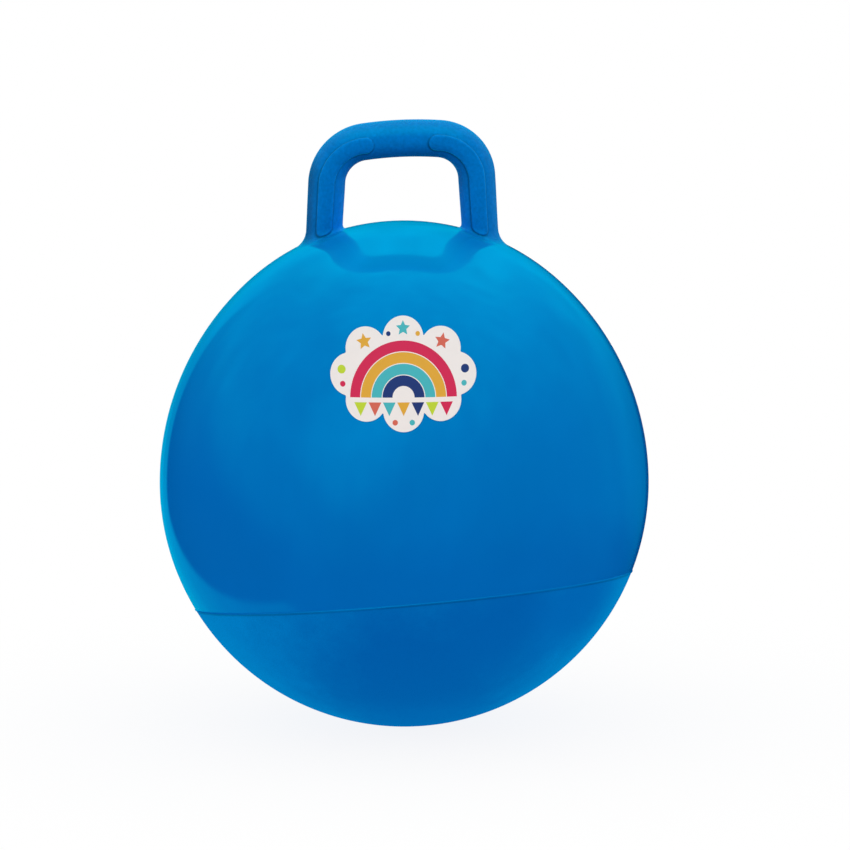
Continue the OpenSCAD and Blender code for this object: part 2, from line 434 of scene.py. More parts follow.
@dataclass(frozen=True)
class HandleForm:
    """Outside of the loop handle: bowed bar, bends, leaning legs, filleted feet and grip ribs.

    A place is given by its distance from the middle of the bar, positive to the right, and by
    its angle round the middle line: 0 is outward, a quarter turn the front.
    """

    ball: BallForm
    rise: float = 93.6
    leg_spacing: float = 143.0
    leg_lean: float = 3.3
    bar_slope: float = 2.0
    bend: float = 38.0
    bow: float = 340.0
    bar_d: float = 34.0
    leg_d: float = 33.3
    wall: float = 3.0
    fillet_out: float = 12.0
    fillet_in: float = 6.0
    toe_stretch: float = 1.7
    rib_w: float = 14.5
    rib_h: float = 1.2
    rib_edge: float = 0.8
    rib_gap: float = 51.0
    rib_drop: float = 2.5
    rib_reach: float = 7.0

    @property
    def up(self) -> Array:
        """Direction of the right leg."""
        lean = math.radians(self.leg_lean)
        return np.array([-math.sin(lean), 0.0, math.cos(lean)])

    @property
    def out(self) -> Array:
        """Outward direction across the right leg."""
        return np.array([self.up[2], 0.0, -self.up[0]])

    @property
    def foot(self) -> Array:
        """Point where the right leg's middle line meets the crown."""
        half = self.leg_spacing / 2.0
        centre = self.ball.crown_centre
        return centre + np.array([half, 0.0, math.sqrt(self.ball.crown ** 2 - half ** 2)])

    @property
    def bow_centre(self) -> Array:
        """Centre of the bar's bow."""
        top = self.ball.middle + self.ball.radius + self.ball.crown_rise + self.rise
        return np.array([0.0, 0.0, top - self.bar_d / 2.0 - self.bow])

    @staticmethod
    def reach(start: Array, way: Array, radius: float) -> Array:
        """Give the distance from a point along a direction to a sphere round the origin."""
        along = start @ way
        return np.sqrt(along ** 2 - np.sum(start * start, axis=-1) + radius ** 2) - along

    @property
    def leg_len(self) -> float:
        """Length of a leg from the crown to the bend."""
        start = self.foot - self.bend * self.out - self.bow_centre
        return float(self.reach(start, self.up, self.bow - self.bend))

    @property
    def bend_centre(self) -> Array:
        """Centre of the right bend."""
        return self.foot + self.leg_len * self.up - self.bend * self.out

    @property
    def bar_angle(self) -> float:
        """Angle of the bow that half the bar takes."""
        place = self.bend_centre - self.bow_centre
        return math.atan2(place[0], place[2])

    @property
    def bar_end(self) -> float:
        """Distance at which the bend starts."""
        return self.bow * self.bar_angle

    @property
    def bend_end(self) -> float:
        """Distance at which the leg starts."""
        return self.bar_end + self.bend * (math.pi / 2.0 - math.radians(self.leg_lean) - self.bar_angle)

    @property
    def heel(self) -> float:
        """Distance at which the fillet of the foot starts."""
        front = np.array([math.pi / 2.0])
        return self.bend_end + self.leg_len - float(self.corner(front)[1][0] + self.fillet(front)[0])

    @property
    def toe(self) -> float:
        """Distance at which the fillet runs out on the ball."""
        return self.heel + self.toe_stretch * float(self.fillet(np.array([math.pi / 2.0]))[0])

    def fillet(self, angle: Array) -> Array:
        """Give the size of the foot's fillet round the leg."""
        return mix(self.fillet_in, self.fillet_out, 0.5 + 0.5 * np.cos(angle))

    def across(self, angle: Array) -> Array:
        """Give directions across the right leg."""
        return np.cos(angle)[..., None] * self.out + np.sin(angle)[..., None] * np.array(FRONT)

    def on_crown(self, distance: Array, angle: Array) -> Array:
        """Give points of the crown below lines beside the right leg.

        Args:
            distance: Distances from the leg's middle line.
            angle: Angles round the leg.

        Returns:
            The points.
        """
        start = self.foot + np.asarray(distance)[..., None] * self.across(angle)
        way = self.reach(start - self.ball.crown_centre, self.up, self.ball.crown)
        return start + way[..., None] * self.up

    def corner(self, angle: Array) -> tuple[Array, Array]:
        """Give where the crown's plane at the toe meets the leg.

        Args:
            angle: Angles round the leg.

        Returns:
            The points, and their heights along the leg.
        """
        toe = self.on_crown(self.leg_d / 2.0 + self.fillet(angle), angle)
        normal = unit(toe - self.ball.crown_centre)
        start = self.foot + self.leg_d / 2.0 * self.across(angle)
        height = np.sum((toe - start) * normal, axis=-1) / (normal @ self.up)
        return start + height[..., None] * self.up, height

    def plain(self, place: Array, angle: Array, lift: Array) -> Array:
        """Give points of the right half, raised by a lift.

        Args:
            place: Distances from the middle of the bar.
            angle: Angles round the middle line.
            lift: Distance outside the plain handle.

        Returns:
            The points.
        """
        on_bar = place < self.bar_end
        bar = np.where(on_bar, place / self.bow, self.bar_angle + (place - self.bar_end) / self.bend)
        away = np.stack([np.sin(bar), 0.0 * bar, np.cos(bar)], axis=-1)
        centre = np.where(on_bar[..., None], self.bow_centre, self.bend_centre)
        middle = centre + np.where(on_bar, self.bow, self.bend)[..., None] * away
        ring = np.cos(angle)[..., None] * away + np.sin(angle)[..., None] * np.array(FRONT)
        bent = middle + (self.bar_d / 2.0 + lift)[..., None] * ring

        corner, corner_h = self.corner(angle)
        fillet = self.fillet(angle)
        t = (place - self.bend_end) / (self.heel - self.bend_end)
        height = mix(self.leg_len, corner_h + fillet, t)
        size = mix(self.bar_d / 2.0, self.leg_d / 2.0, smooth(0.0, 1.0, t)) + lift
        leg = self.foot + height[..., None] * self.up + size[..., None] * self.across(angle)

        t = (1.0 - (place - self.heel) / (self.toe - self.heel))[..., None]
        toe = self.on_crown(self.leg_d / 2.0 + fillet, angle)
        heel = corner + fillet[..., None] * self.up
        curve = mix(mix(toe, corner, t), mix(corner, heel, t), t)
        way = mix(corner - toe, heel - corner, t)
        side = self.across(angle)
        normal = unit((way @ self.up)[..., None] * side - np.sum(way * side, axis=-1)[..., None] * self.up)
        foot = curve + lift[..., None] * normal
        return np.where(
            (place <= self.bend_end)[..., None], bent, np.where((place < self.heel)[..., None], leg, foot))

    def rib_edges(self, place: Array, angle: Array) -> list[tuple[Array, Array, Array]]:
        """Measure the way to the edge of each grip rib on the right half.

        Args:
            place: Distances from the middle of the bar.
            angle: Angles round the middle line.

        Returns:
            For the front and the back rib, the distance outside its edge, and which way the
            edge faces: along the handle, and towards the hand.
        """
        fade = np.clip((place - self.bar_end) / (self.bend_end - self.bar_end), 0.0, 1.0)
        middle = math.pi / 2.0 + math.asin(2.0 * self.rib_drop / self.bar_d) * (1.0 - fade)
        half = self.rib_w / 2.0
        ends = np.clip(place, self.rib_gap / 2.0 + half, self.heel + self.rib_reach - half)
        edges = []
        for side in SIDES:
            around = self.bar_d / 2.0 * ((angle - side * middle + math.pi) % FULL_TURN - math.pi)
            far = np.maximum(np.hypot(place - ends, around), self.rib_edge)
            edges.append((far - half, (place - ends) / far, side * around / far))
        return edges

    def rib(self, place: Array, angle: Array) -> Array:
        """Give the height of the grip ribs on the right half."""
        edges = self.rib_edges(place, angle)
        return sum(self.rib_h * (1.0 - smooth(-self.rib_edge, self.rib_edge, edge)) for edge, *_ in edges)

    def bar_turn(self, far: Array) -> Array:
        """Give the angle by which the middle line has turned from level."""
        on_bar = np.minimum(far, self.bar_end) / self.bow
        return on_bar + np.clip(far - self.bar_end, 0.0, self.bend_end - self.bar_end) / self.bend

    def sided(self, place: Array, points: Array) -> Array:
        """Put points of the right half on their own side and give the bar its slope.

        Args:
            place: Distances from the middle of the bar, negative to the left.
            points: Points as they are on the right half.

        Returns:
            The points of the whole handle.
        """
        x = points[..., 0] * np.where(place < 0.0, -1.0, 1.0)
        share = smooth(self.foot[2] + self.fillet_out, self.bend_centre[2], points[..., 2])
        z = points[..., 2] + math.tan(math.radians(self.bar_slope)) * share * x
        return np.stack([x, points[..., 1], z], axis=-1)

    def outside(self, place: Array, angle: Array) -> Array:
        """Give points of the whole handle's outside with its ribs."""
        far = np.abs(place)
        return self.sided(place, self.plain(far, angle, self.rib(far, angle)))

    def bore(self, place: Array, angle: Array) -> Array:
        """Give points of the handle's bore, which ends on the crown.

        Args:
            place: Distances from the middle of the bar, negative to the left.
            angle: Angles round the middle line.

        Returns:
            The points.
        """
        far = np.abs(place)
        lift = np.full(np.broadcast(far, angle).shape, -self.wall)
        bent = self.plain(np.minimum(far, self.bend_end), angle, lift)
        t = np.clip((far - self.bend_end) / (self.toe - self.bend_end), 0.0, 1.0)[..., None]
        end = self.on_crown(self.leg_d / 2.0 + lift, angle)
        return self.sided(place, np.where((far > self.bend_end)[..., None], mix(bent, end, t), bent))


@dataclass(frozen=True)
class HandleLight:
    """Soft light on the handle that comes from the top right.

    Attributes:
        form: The handle.
        gap_shade: Shade on the side of the bar that faces the hand's gap.
        gap_from: How far a side faces the gap before it is shaded.
        leg_gap: Share of that shade at the top of the left and of the right leg. A share below 0
            is a gain of light.
        foot_gap: The same at the feet, where the bright crown lights the legs.
        flank_shade: Shade on the outer side of the left leg.
        flank_bend: Turns of the bend, as sines, between which that shade sets in.
        flank_side: How far a side faces outward while that shade sets in.
        top_lean: Lean to the right of the highlight on the bar, in degrees.
        top_in: How far a side faces up where the highlight sets in.
        top_out: How far a side faces up where the highlight ends.
        top_fade: Turns of the bend between which the highlight fades.
        top_light: Gain of each colour in the highlight.
        line_shade: Shade in the groove along a rib.
        line_lit: Share of that shade on the lit side of a rib.
        line_widths: Widths of the groove on the dark and the lit side, in widths of the edge.
        line_step: Where the groove starts and is deepest, in widths of the edge.
        lit_step: Shares of light between which the groove gets narrower.
        ridge_light: Gain of light on the lit edge of a rib.
        ridge_in: Distance of that ridge inside the edge, in widths of the edge.
        rib_light: Direction to the light, to the right and up.
        run_from: Share of the fillet at which the foot starts to run out.
    """

    form: HandleForm
    gap_shade: float = 0.48
    gap_from: float = 0.1
    leg_gap: Pair = (-0.25, 0.5)
    foot_gap: Pair = (-1.6, -0.75)
    flank_shade: float = 0.46
    flank_bend: Pair = (0.8, 1.0)
    flank_side: Pair = (0.3, 1.0)
    top_lean: float = 10.0
    top_in: Pair = (0.12, 0.5)
    top_out: Pair = (0.6, 0.95)
    top_fade: Pair = (0.25, 0.85)
    top_light: Colour = (0.0, 0.42, 0.12)
    line_shade: float = 0.72
    line_lit: float = 0.25
    line_widths: Pair = (2.0, 0.9)
    line_step: Pair = (-0.6, 0.5)
    lit_step: Pair = (0.1, 0.6)
    ridge_light: float = 0.22
    ridge_in: float = 0.9
    rib_light: Pair = (0.55, 0.835)
    run_from: float = 0.15

    def run_out(self, place: Array) -> Array:
        """Give how far the feet have run out into the ball's own skin."""
        start = mix(self.form.heel, self.form.toe, self.run_from)
        return smooth(start, self.form.toe, np.abs(place))

    def top(self, place: Array, angle: Array) -> Array:
        """Give the share of the soft highlight along the top of the bar.

        Args:
            place: Distances from the middle of the bar, negative to the left.
            angle: Angles round the middle line.

        Returns:
            The shares.
        """
        turn = self.form.bar_turn(np.abs(place)) * np.where(place < 0.0, -1.0, 1.0)
        facing = np.cos(angle) * np.cos(turn - math.radians(self.top_lean))
        band = smooth(*self.top_in, facing) * (1.0 - smooth(*self.top_out, facing))
        return band * (1.0 - smooth(*self.top_fade, np.abs(turn)))

    def rib_line(self, place: Array, edge: tuple[Array, Array, Array]) -> Array:
        """Give the light along a rib: less in the groove beside it, more on its lit ridge.

        Args:
            place: Distances from the middle of the bar, negative to the left.
            edge: Distance outside the rib's edge, and which way the edge faces: along the
                handle, and towards the hand.

        Returns:
            The shares of light.
        """
        outside, along, inward = edge
        gap = outside / self.form.rib_edge
        turn = self.form.bar_turn(np.abs(place))
        right = (along * np.cos(turn) - inward * np.sin(turn)) * np.where(place < 0.0, -1.0, 1.0)
        up = -along * np.sin(turn) - inward * np.cos(turn)
        lit = 0.5 + 0.5 * (self.rib_light[0] * right + self.rib_light[1] * up)
        width = mix(*self.line_widths, smooth(*self.lit_step, lit))
        groove = np.exp(-(np.maximum(gap - self.line_step[1], 0.0) / width) ** 2)
        groove = groove * smooth(*self.line_step, gap) * mix(1.0, self.line_lit, lit)
        ridge = np.exp(-(gap + self.ridge_in) ** 2) * lit
        return (1.0 - groove * self.line_shade) * (1.0 + ridge * self.ridge_light)

    def shade(self, place: Array, angle: Array) -> Array:
        """Give the light on the handle: less in the hand's gap, on the left flank and along ribs.

        Args:
            place: Distances from the middle of the bar, negative to the left.
            angle: Angles round the middle line.

        Returns:
            The shares of light.
        """
        form = self.form
        far = np.abs(place)
        left = place < 0.0
        plain = 1.0 - self.run_out(place)
        down = np.clip((far - form.bend_end) / (form.heel - form.bend_end), 0.0, 1.0)
        legs = plain * mix(np.where(left, *self.leg_gap), np.where(left, *self.foot_gap), down)
        depth = self.gap_shade * mix(1.0, legs, smooth(form.bar_end, form.bend_end, far))
        light = 1.0 - depth * smooth(self.gap_from, 1.0, -np.cos(angle))
        flank = smooth(*self.flank_bend, np.sin(form.bar_turn(far))) * smooth(*self.flank_side, np.cos(angle))
        light = light * (1.0 - self.flank_shade * plain * np.where(left, flank, 0.0))
        for edge in form.rib_edges(far, angle):
            light = light * self.rib_line(place, edge)
        return light

    def colours(self, place: Array, angle: Array) -> Array:
        """Give the light on the handle as colours.

        Args:
            place: Distances from the middle of the bar, negative to the left.
            angle: Angles round the middle line.

        Returns:
            One row for each point: the light in each colour, and how far the foot has run out.
        """
        light = self.shade(place, angle).reshape(-1, 1)
        top = self.top(place, angle).reshape(-1, 1)
        runs = self.run_out(place).reshape(-1, 1)
        return np.concatenate([light * (1.0 + top * np.array(self.top_light)), runs], axis=1)


class Nodes:
    """Short way to add and join the nodes of one tree.

    A mix node has sockets for values and for colours, so its colour sockets go by their places.
    """

    COLOUR_INPUTS = ("at0", "at6", "at7")
    COLOUR_RESULT = 2

    def __init__(self, tree: bpy.types.NodeTree) -> None:
        """Start on a tree."""
        self.tree = tree

    def add(self, kind: str, settings: dict | None = None, **inputs: object) -> bpy.types.Node:
        """Add a node.

        Args:
            kind: Type of the node.
            settings: Properties of the node.
            inputs: Values or sockets for its inputs, with _ for a blank; a number after "at"
                stands for an input's place.

        Returns:
            The node.
        """
        node = self.tree.nodes.new(kind)
        for name, value in (settings or {}).items():
            setattr(node, name, value)
        for name, value in inputs.items():
            key = int(name[2:]) if name.startswith("at") else name.replace("_", " ")
            socket = node.inputs[key]
            if isinstance(value, Socket):
                self.tree.links.new(value, socket)
            else:
                socket.default_value = value
        return node

    def group(self, tree: bpy.types.NodeTree, **inputs: object) -> bpy.types.bpy_prop_collection:
        """Place a shared group and give its outputs."""
        return self.add("ShaderNodeGroup", {"node_tree": tree}, **inputs).outputs

    def math(self, operation: str, *values: object) -> Socket:
        """Work out a value with a math node."""
        inputs = {f"at{i}": value for i, value in enumerate(values)}
        return self.add("ShaderNodeMath", {"operation": operation}, **inputs).outputs[0]

    def step(self, value: object, low: float, high: float, start: float = 0.0, end: float = 1.0,
             shape: str = "SMOOTHSTEP") -> Socket:
        """Step a value between two ends, softly unless another shape is given.

        Args:
            value: The value, or its socket.
            low: Value at which the step starts.
            high: Value at which it ends.
            start: Result up to low.
            end: Result from high on.
            shape: How the step goes between them.

        Returns:
            The socket of the result.
        """
        settings = {"interpolation_type": shape}
        inputs = {"From_Min": low, "From_Max": high, "To_Min": start, "To_Max": end}
        return self.add("ShaderNodeMapRange", settings, Value=value, **inputs).outputs[0]

    def noise(self, place: Socket, scale: object, detail: float, roughness: float = 0.5) -> Socket:
        """Give a noise from 0 to 1."""
        inputs = {"Vector": place, "Scale": scale, "Detail": detail, "Roughness": roughness}
        return self.add("ShaderNodeTexNoise", **inputs).outputs["Fac"]

    def swing(self, noise: Socket, reach: float, middle: float = 0.0) -> Socket:
        """Swing by a noise to a reach on both sides of a middle value."""
        return self.math("MULTIPLY_ADD", noise, 2.0 * reach, middle - reach)

    def facing(self, way: Socket, other: object) -> Socket:
        """Give how far a vector reaches along another one."""
        node = self.add("ShaderNodeVectorMath", {"operation": "DOT_PRODUCT"}, at0=way, at1=other)
        return node.outputs["Value"]

    def blend(self, share: object, first: object, second: object, kind: str = "MIX") -> Socket:
        """Blend two colours.

        Args:
            share: Share of the second colour.
            first: The first colour.
            second: The second colour.
            kind: How the two are blended.

        Returns:
            The socket of the blended colour.
        """
        settings = {"data_type": "RGBA", "blend_type": kind}
        inputs = dict(zip(self.COLOUR_INPUTS, (share, first, second)))
        return self.add("ShaderNodeMix", settings, **inputs).outputs[self.COLOUR_RESULT]

    def shaded(self, colour: Socket, value: Socket) -> Socket:
        """Make a colour lighter or darker by a factor."""
        return self.add("ShaderNodeHueSaturation", Color=colour, Value=value).outputs[0]


class Effects:
    """Shared shader groups, each made once."""

    SMEAR_ROUGHNESS = 0.6
    SCUFF_STRETCH: Point = (3.0, 3.0, 0.35)
    SCUFF_TURN: Point = (0.5, 0.3, 0.2)
    SCUFF_SCALE = 60.0
    SCUFF_STEP = (0.70, 0.80)
    SCUFF_DEPTH = 0.12
    PATCH_CLOUD = 25.0
    PATCH_ROUGHNESS = 0.7
    PATCH_RAGGED = 0.25
    PATCH_STEP = (0.2, 1.0)
    LINE_STEP = (0.4, 1.0)
    LINE_CLOUD = 9.0
    LINE_BREAKS = (0.3, 0.6)
    LINE_FAINT = 0.35

    def __init__(self) -> None:
        """Make the groups."""
        self.mottle = self._mottle()
        self.grain = self._grain()
        self.handling = self._handling()
        self.patch = self._patch()
        self.line = self._line()

    @staticmethod
    def _start(name: str, inputs: dict[str, str],
               outputs: dict[str, str]) -> tuple[Nodes, dict[str, Socket], bpy.types.Node]:
        """Make an empty group.

        Args:
            name: Name of the group.
            inputs: Types of its inputs by name.
            outputs: Types of its outputs by name.

        Returns:
            Its nodes, its input sockets by name, and its output node.
        """
        tree = bpy.data.node_groups.new(name, "ShaderNodeTree")
        for label, kind in inputs.items():
            tree.interface.new_socket(label, in_out="INPUT", socket_type=kind)
        for label, kind in outputs.items():
            tree.interface.new_socket(label, in_out="OUTPUT", socket_type=kind)
        nodes = Nodes(tree)
        taken = nodes.add("NodeGroupInput")
        return nodes, {label: taken.outputs[label] for label in inputs}, nodes.add("NodeGroupOutput")

    def _mottle(self) -> bpy.types.NodeTree:
        """Make the group that varies a colour in soft clouds.

        Returns:
            The group.
        """
        nodes, taken, given = self._start(
            "colour_mottle",
            {"Color": "NodeSocketColor", "Scale": "NodeSocketFloat", "Amount": "NodeSocketFloat"},
            {"Color": "NodeSocketColor"})
        place = nodes.add("ShaderNodeTexCoord").outputs["Object"]
        cloud = nodes.swing(nodes.noise(place, taken["Scale"], detail=4.0), 1.0)
        value = nodes.math("MULTIPLY_ADD", cloud, taken["Amount"], 1.0)
        nodes.tree.links.new(nodes.shaded(taken["Color"], value), given.inputs["Color"])
        return nodes.tree

    def _grain(self) -> bpy.types.NodeTree:
        """Make the group that gives the height of a mould's grain over a broad waviness.

        Returns:
            The group.
        """
        nodes, taken, given = self._start(
            "moulded_grain",
            {"Fine": "NodeSocketFloat", "Broad": "NodeSocketFloat", "Share": "NodeSocketFloat"},
            {"Height": "NodeSocketFloat"})
        place = nodes.add("ShaderNodeTexCoord").outputs["Object"]
        fine = nodes.noise(place, taken["Fine"], detail=2.0)
        broad = nodes.noise(place, taken["Broad"], detail=1.0)
        height = nodes.add("ShaderNodeMix", Factor=taken["Share"], A=broad, B=fine)
        nodes.tree.links.new(height.outputs[0], given.inputs["Height"])
        return nodes.tree

    def _handling(self) -> bpy.types.NodeTree:
        """Make the group that breaks up a roughness with smears and short scuffs.

        Returns:
            The group.
        """
        nodes, taken, given = self._start(
            "handling_marks",
            {"Roughness": "NodeSocketFloat", "Spread": "NodeSocketFloat", "Scale": "NodeSocketFloat"},
            {"Roughness": "NodeSocketFloat"})
        place = nodes.add("ShaderNodeTexCoord").outputs["Object"]
        smear = nodes.noise(place, taken["Scale"], detail=5.0, roughness=self.SMEAR_ROUGHNESS)
        smear = nodes.math("MULTIPLY", nodes.swing(smear, 1.0), taken["Spread"])
        rough = nodes.math("ADD", taken["Roughness"], smear)
        drawn = nodes.add(
            "ShaderNodeMapping", Vector=place, Scale=self.SCUFF_STRETCH, Rotation=self.SCUFF_TURN)
        scuff = nodes.step(nodes.noise(drawn.outputs[0], self.SCUFF_SCALE, detail=3.0), *self.SCUFF_STEP)
        worn = nodes.math("MULTIPLY_ADD", scuff, self.SCUFF_DEPTH, rough)
        nodes.tree.links.new(worn, given.inputs["Roughness"])
        return nodes.tree

    def _patch(self) -> bpy.types.NodeTree:
        """Make the group that turns a colour to another one in one soft, cloudy patch.

        Returns:
            The group.
        """
        nodes, taken, given = self._start(
            "soft_patch",
            {"Color": "NodeSocketColor", "Patch": "NodeSocketColor", "Centre": "NodeSocketVector",
             "Radius": "NodeSocketFloat"},
            {"Color": "NodeSocketColor"})
        place = nodes.add("ShaderNodeTexCoord").outputs["Object"]
        gap = nodes.add("ShaderNodeVectorMath", {"operation": "DISTANCE"}, at0=place, at1=taken["Centre"])
        cloud = nodes.noise(place, self.PATCH_CLOUD, detail=6.0, roughness=self.PATCH_ROUGHNESS)
        share = nodes.math("DIVIDE", gap.outputs["Value"], taken["Radius"])
        share = nodes.math("ADD", share, nodes.swing(cloud, self.PATCH_RAGGED))
        fall = nodes.step(share, *self.PATCH_STEP, start=1.0, end=0.0)
        nodes.tree.links.new(nodes.blend(fall, taken["Color"], taken["Patch"]), given.inputs["Color"])
        return nodes.tree

    def _line(self) -> bpy.types.NodeTree:
        """Make the group that darkens a colour along the cut of a plane, here and there.

        Returns:
            The group.
        """
        nodes, taken, given = self._start(
            "seam_line",
            {"Color": "NodeSocketColor", "Normal": "NodeSocketVector", "Offset": "NodeSocketFloat",
             "Width": "NodeSocketFloat", "Depth": "NodeSocketFloat"},
            {"Color": "NodeSocketColor"})
        place = nodes.add("ShaderNodeTexCoord").outputs["Object"]
        along = nodes.facing(place, taken["Normal"])
        gap = nodes.math("ABSOLUTE", nodes.math("SUBTRACT", along, taken["Offset"]))
        near = nodes.step(nodes.math("DIVIDE", gap, taken["Width"]), *self.LINE_STEP, start=1.0, end=0.0)
        cloud = nodes.noise(place, self.LINE_CLOUD, detail=3.0)
        broken = nodes.step(cloud, *self.LINE_BREAKS, start=self.LINE_FAINT, end=1.0)
        fall = nodes.math("MULTIPLY", broken, taken["Depth"])
        value = nodes.math("SUBTRACT", 1.0, nodes.math("MULTIPLY", near, fall))
        nodes.tree.links.new(nodes.shaded(taken["Color"], value), given.inputs["Color"])
        return nodes.tree


def new_material(name: str) -> tuple[bpy.types.Material, Nodes, bpy.types.Node]:
    """Start a material.

    Args:
        name: Name of the material.

    Returns:
        The material, its nodes and its shader.
    """
    material = bpy.data.materials.new(name)
    material.use_nodes = True
    nodes = Nodes(material.node_tree)
    return material, nodes, material.node_tree.nodes["Principled BSDF"]


@dataclass(frozen=True)
class PaintedPatch:
    """Soft patch of another colour that paints light and shade onto a skin."""

    centre: Point
    radius: float
    colour: Colour


@dataclass(frozen=True)
class SeamLine:
    """Thin line of painted shade along the seam's plane, just under the bead."""

    ball: BallForm
    below: float = 0.9
    width: float = 1.3
    depth: float = 0.3

    @property
    def offset(self) -> float:
        """Distance of the line's plane from the origin along the seam's normal."""
        return self.ball.middle * self.ball.seam_normal[2] - self.ball.seam_drop - self.below


@dataclass(frozen=True)
class Relief:
    """Fine grain over a broad waviness, with marks of handling.

    Attributes:
        roughness: Mean roughness.
        spread: Swing of the roughness where the skin was handled.
        fine: Scale of the fine grain.
        share: Share of the fine grain in the height, against the waviness.
        depth: Height of the whole.
        broad: Scale of the waviness.
        smears: Scale of the marks of handling.
    """

    roughness: float
    spread: float
    fine: float
    share: float
    depth: float
    broad: float = 9.0
    smears: float = 16.0

    def rough(self, nodes: Nodes, effects: Effects) -> Socket:
        """Give the roughness with the marks of handling."""
        marks = {"Roughness": self.roughness, "Spread": self.spread, "Scale": self.smears}
        return nodes.group(effects.handling, **marks)["Roughness"]

    def normal(self, nodes: Nodes, effects: Effects) -> Socket:
        """Work out the normal on the grain.

        Args:
            nodes: Nodes of the material.
            effects: The shared shader groups.

        Returns:
            The socket of the normal.
        """
        height = nodes.group(effects.grain, Fine=self.fine, Broad=self.broad, Share=self.share)["Height"]
        bump = nodes.add("ShaderNodeBump", Height=height, Distance=self.depth * MM, Strength=1.0)
        return bump.outputs["Normal"]


@dataclass(frozen=True)
class VinylFinish:
    """Moulded vinyl: cloudy colour, mould grain, marks of handling, and painted light and shade if given.

    Attributes:
        name: Name of the material.
        colour: Colour of the vinyl, linear.
        relief: Its grain and its roughness.
        mottle: Swing of the colour in soft clouds.
        cloud: Scale of those clouds.
        speckle: Swing of the colour in the fine grain.
        specular: Level of the mirror reflection.
        tint: Its colour.
        sheen: Weight of the pale sheen at the rims.
        sheen_tint: Its colour.
        patches: Soft patches of painted light and shade, the upper ones last.
        line: Painted shade along the seam, just under its bead.
        attribute: Name of the painted light, if there is any.
        toe_roughness: Roughness where a foot has run out.
        mirrored: Strength of a painted glow, seen only in reflections, that lifts the handle there.
        mirrored_z: Heights between which that light rises to its full strength.
        mirrored_low: Its share below them.
    """

    name: str
    colour: Colour
    relief: Relief
    mottle: float = 0.03
    cloud: float = 14.0
    speckle: float = 0.0
    specular: float = 0.5
    tint: Colour = (0.0, 1.0, 1.0)
    sheen: float = 0.0
    sheen_tint: Colour = (0.0, 0.76, 1.0)
    patches: tuple[PaintedPatch, ...] = ()
    line: SeamLine | None = None
    attribute: str = ""
    toe_roughness: float = 0.06
    mirrored: float = 0.0
    mirrored_z: Pair = (455.0, 512.0)
    mirrored_low: float = 0.18

    def skin_colour(self, nodes: Nodes, effects: Effects) -> Socket:
        """Lay the clouds, the speckle, the painted patches and the painted seam shade over the colour.

        Args:
            nodes: Nodes of the material.
            effects: The shared shader groups.

        Returns:
            The socket of the colour.
        """
        plain = {"Color": (*self.colour, 1.0), "Scale": self.cloud, "Amount": self.mottle}
        colour = nodes.group(effects.mottle, **plain)["Color"]
        if self.speckle:
            fine = {"Color": colour, "Scale": self.relief.fine, "Amount": self.speckle}
            colour = nodes.group(effects.mottle, **fine)["Color"]
        for patch in self.patches:
            centre = [value * MM for value in patch.centre]
            spot = {"Patch": (*patch.colour, 1.0), "Centre": centre, "Radius": patch.radius * MM}
            colour = nodes.group(effects.patch, Color=colour, **spot)["Color"]
        if self.line:
            cut = {"Normal": self.line.ball.seam_normal.tolist(), "Offset": self.line.offset * MM,
                   "Width": self.line.width * MM, "Depth": self.line.depth}
            colour = nodes.group(effects.line, Color=colour, **cut)["Color"]
        return colour

    def mirrored_glow(self, nodes: Nodes) -> Socket:
        """Work out the painted glow that only reflections see, which is weaker low down.

        Args:
            nodes: Nodes of the material.

        Returns:
            The socket of its colour.
        """
        place = nodes.add("ShaderNodeTexCoord").outputs["Object"]
        height = nodes.add("ShaderNodeSeparateXYZ", at0=place).outputs["Z"]
        low, high = (value * MM for value in self.mirrored_z)
        share = nodes.step(height, low, high, start=self.mirrored_low)
        seen = nodes.math("MULTIPLY", nodes.add("ShaderNodeLightPath").outputs["Is Glossy Ray"], share)
        return nodes.blend(seen, (0.0, 0.0, 0.0, 1.0), (*self.sheen_tint, 1.0))

    def material(self, effects: Effects) -> bpy.types.Material:
        """Make the material.

        Args:
            effects: The shared shader groups.

        Returns:
            The material.
        """
        material, nodes, shader = new_material(self.name)
        shader.inputs["Specular IOR Level"].default_value = self.specular
        shader.inputs["Specular Tint"].default_value = (*self.tint, 1.0)
        shader.inputs["Sheen Weight"].default_value = self.sheen
        shader.inputs["Sheen Tint"].default_value = (*self.sheen_tint, 1.0)
        colour = self.skin_colour(nodes, effects)
        rough = self.relief.rough(nodes, effects)
        if self.attribute:
            light = nodes.add("ShaderNodeVertexColor", {"layer_name": self.attribute}).outputs
            colour = nodes.blend(1.0, colour, light["Color"], "MULTIPLY")
            toe = nodes.add("ShaderNodeMix", Factor=light["Alpha"], A=rough, B=self.toe_roughness)
            rough = toe.outputs[0]
        links = material.node_tree.links
        if self.mirrored:
            shader.inputs["Emission Strength"].default_value = self.mirrored
            material.cycles.emission_sampling = "NONE"
            links.new(self.mirrored_glow(nodes), shader.inputs["Emission Color"])
        links.new(colour, shader.inputs["Base Color"])
        links.new(rough, shader.inputs["Roughness"])
        links.new(self.relief.normal(nodes, effects), shader.inputs["Normal"])
        return material


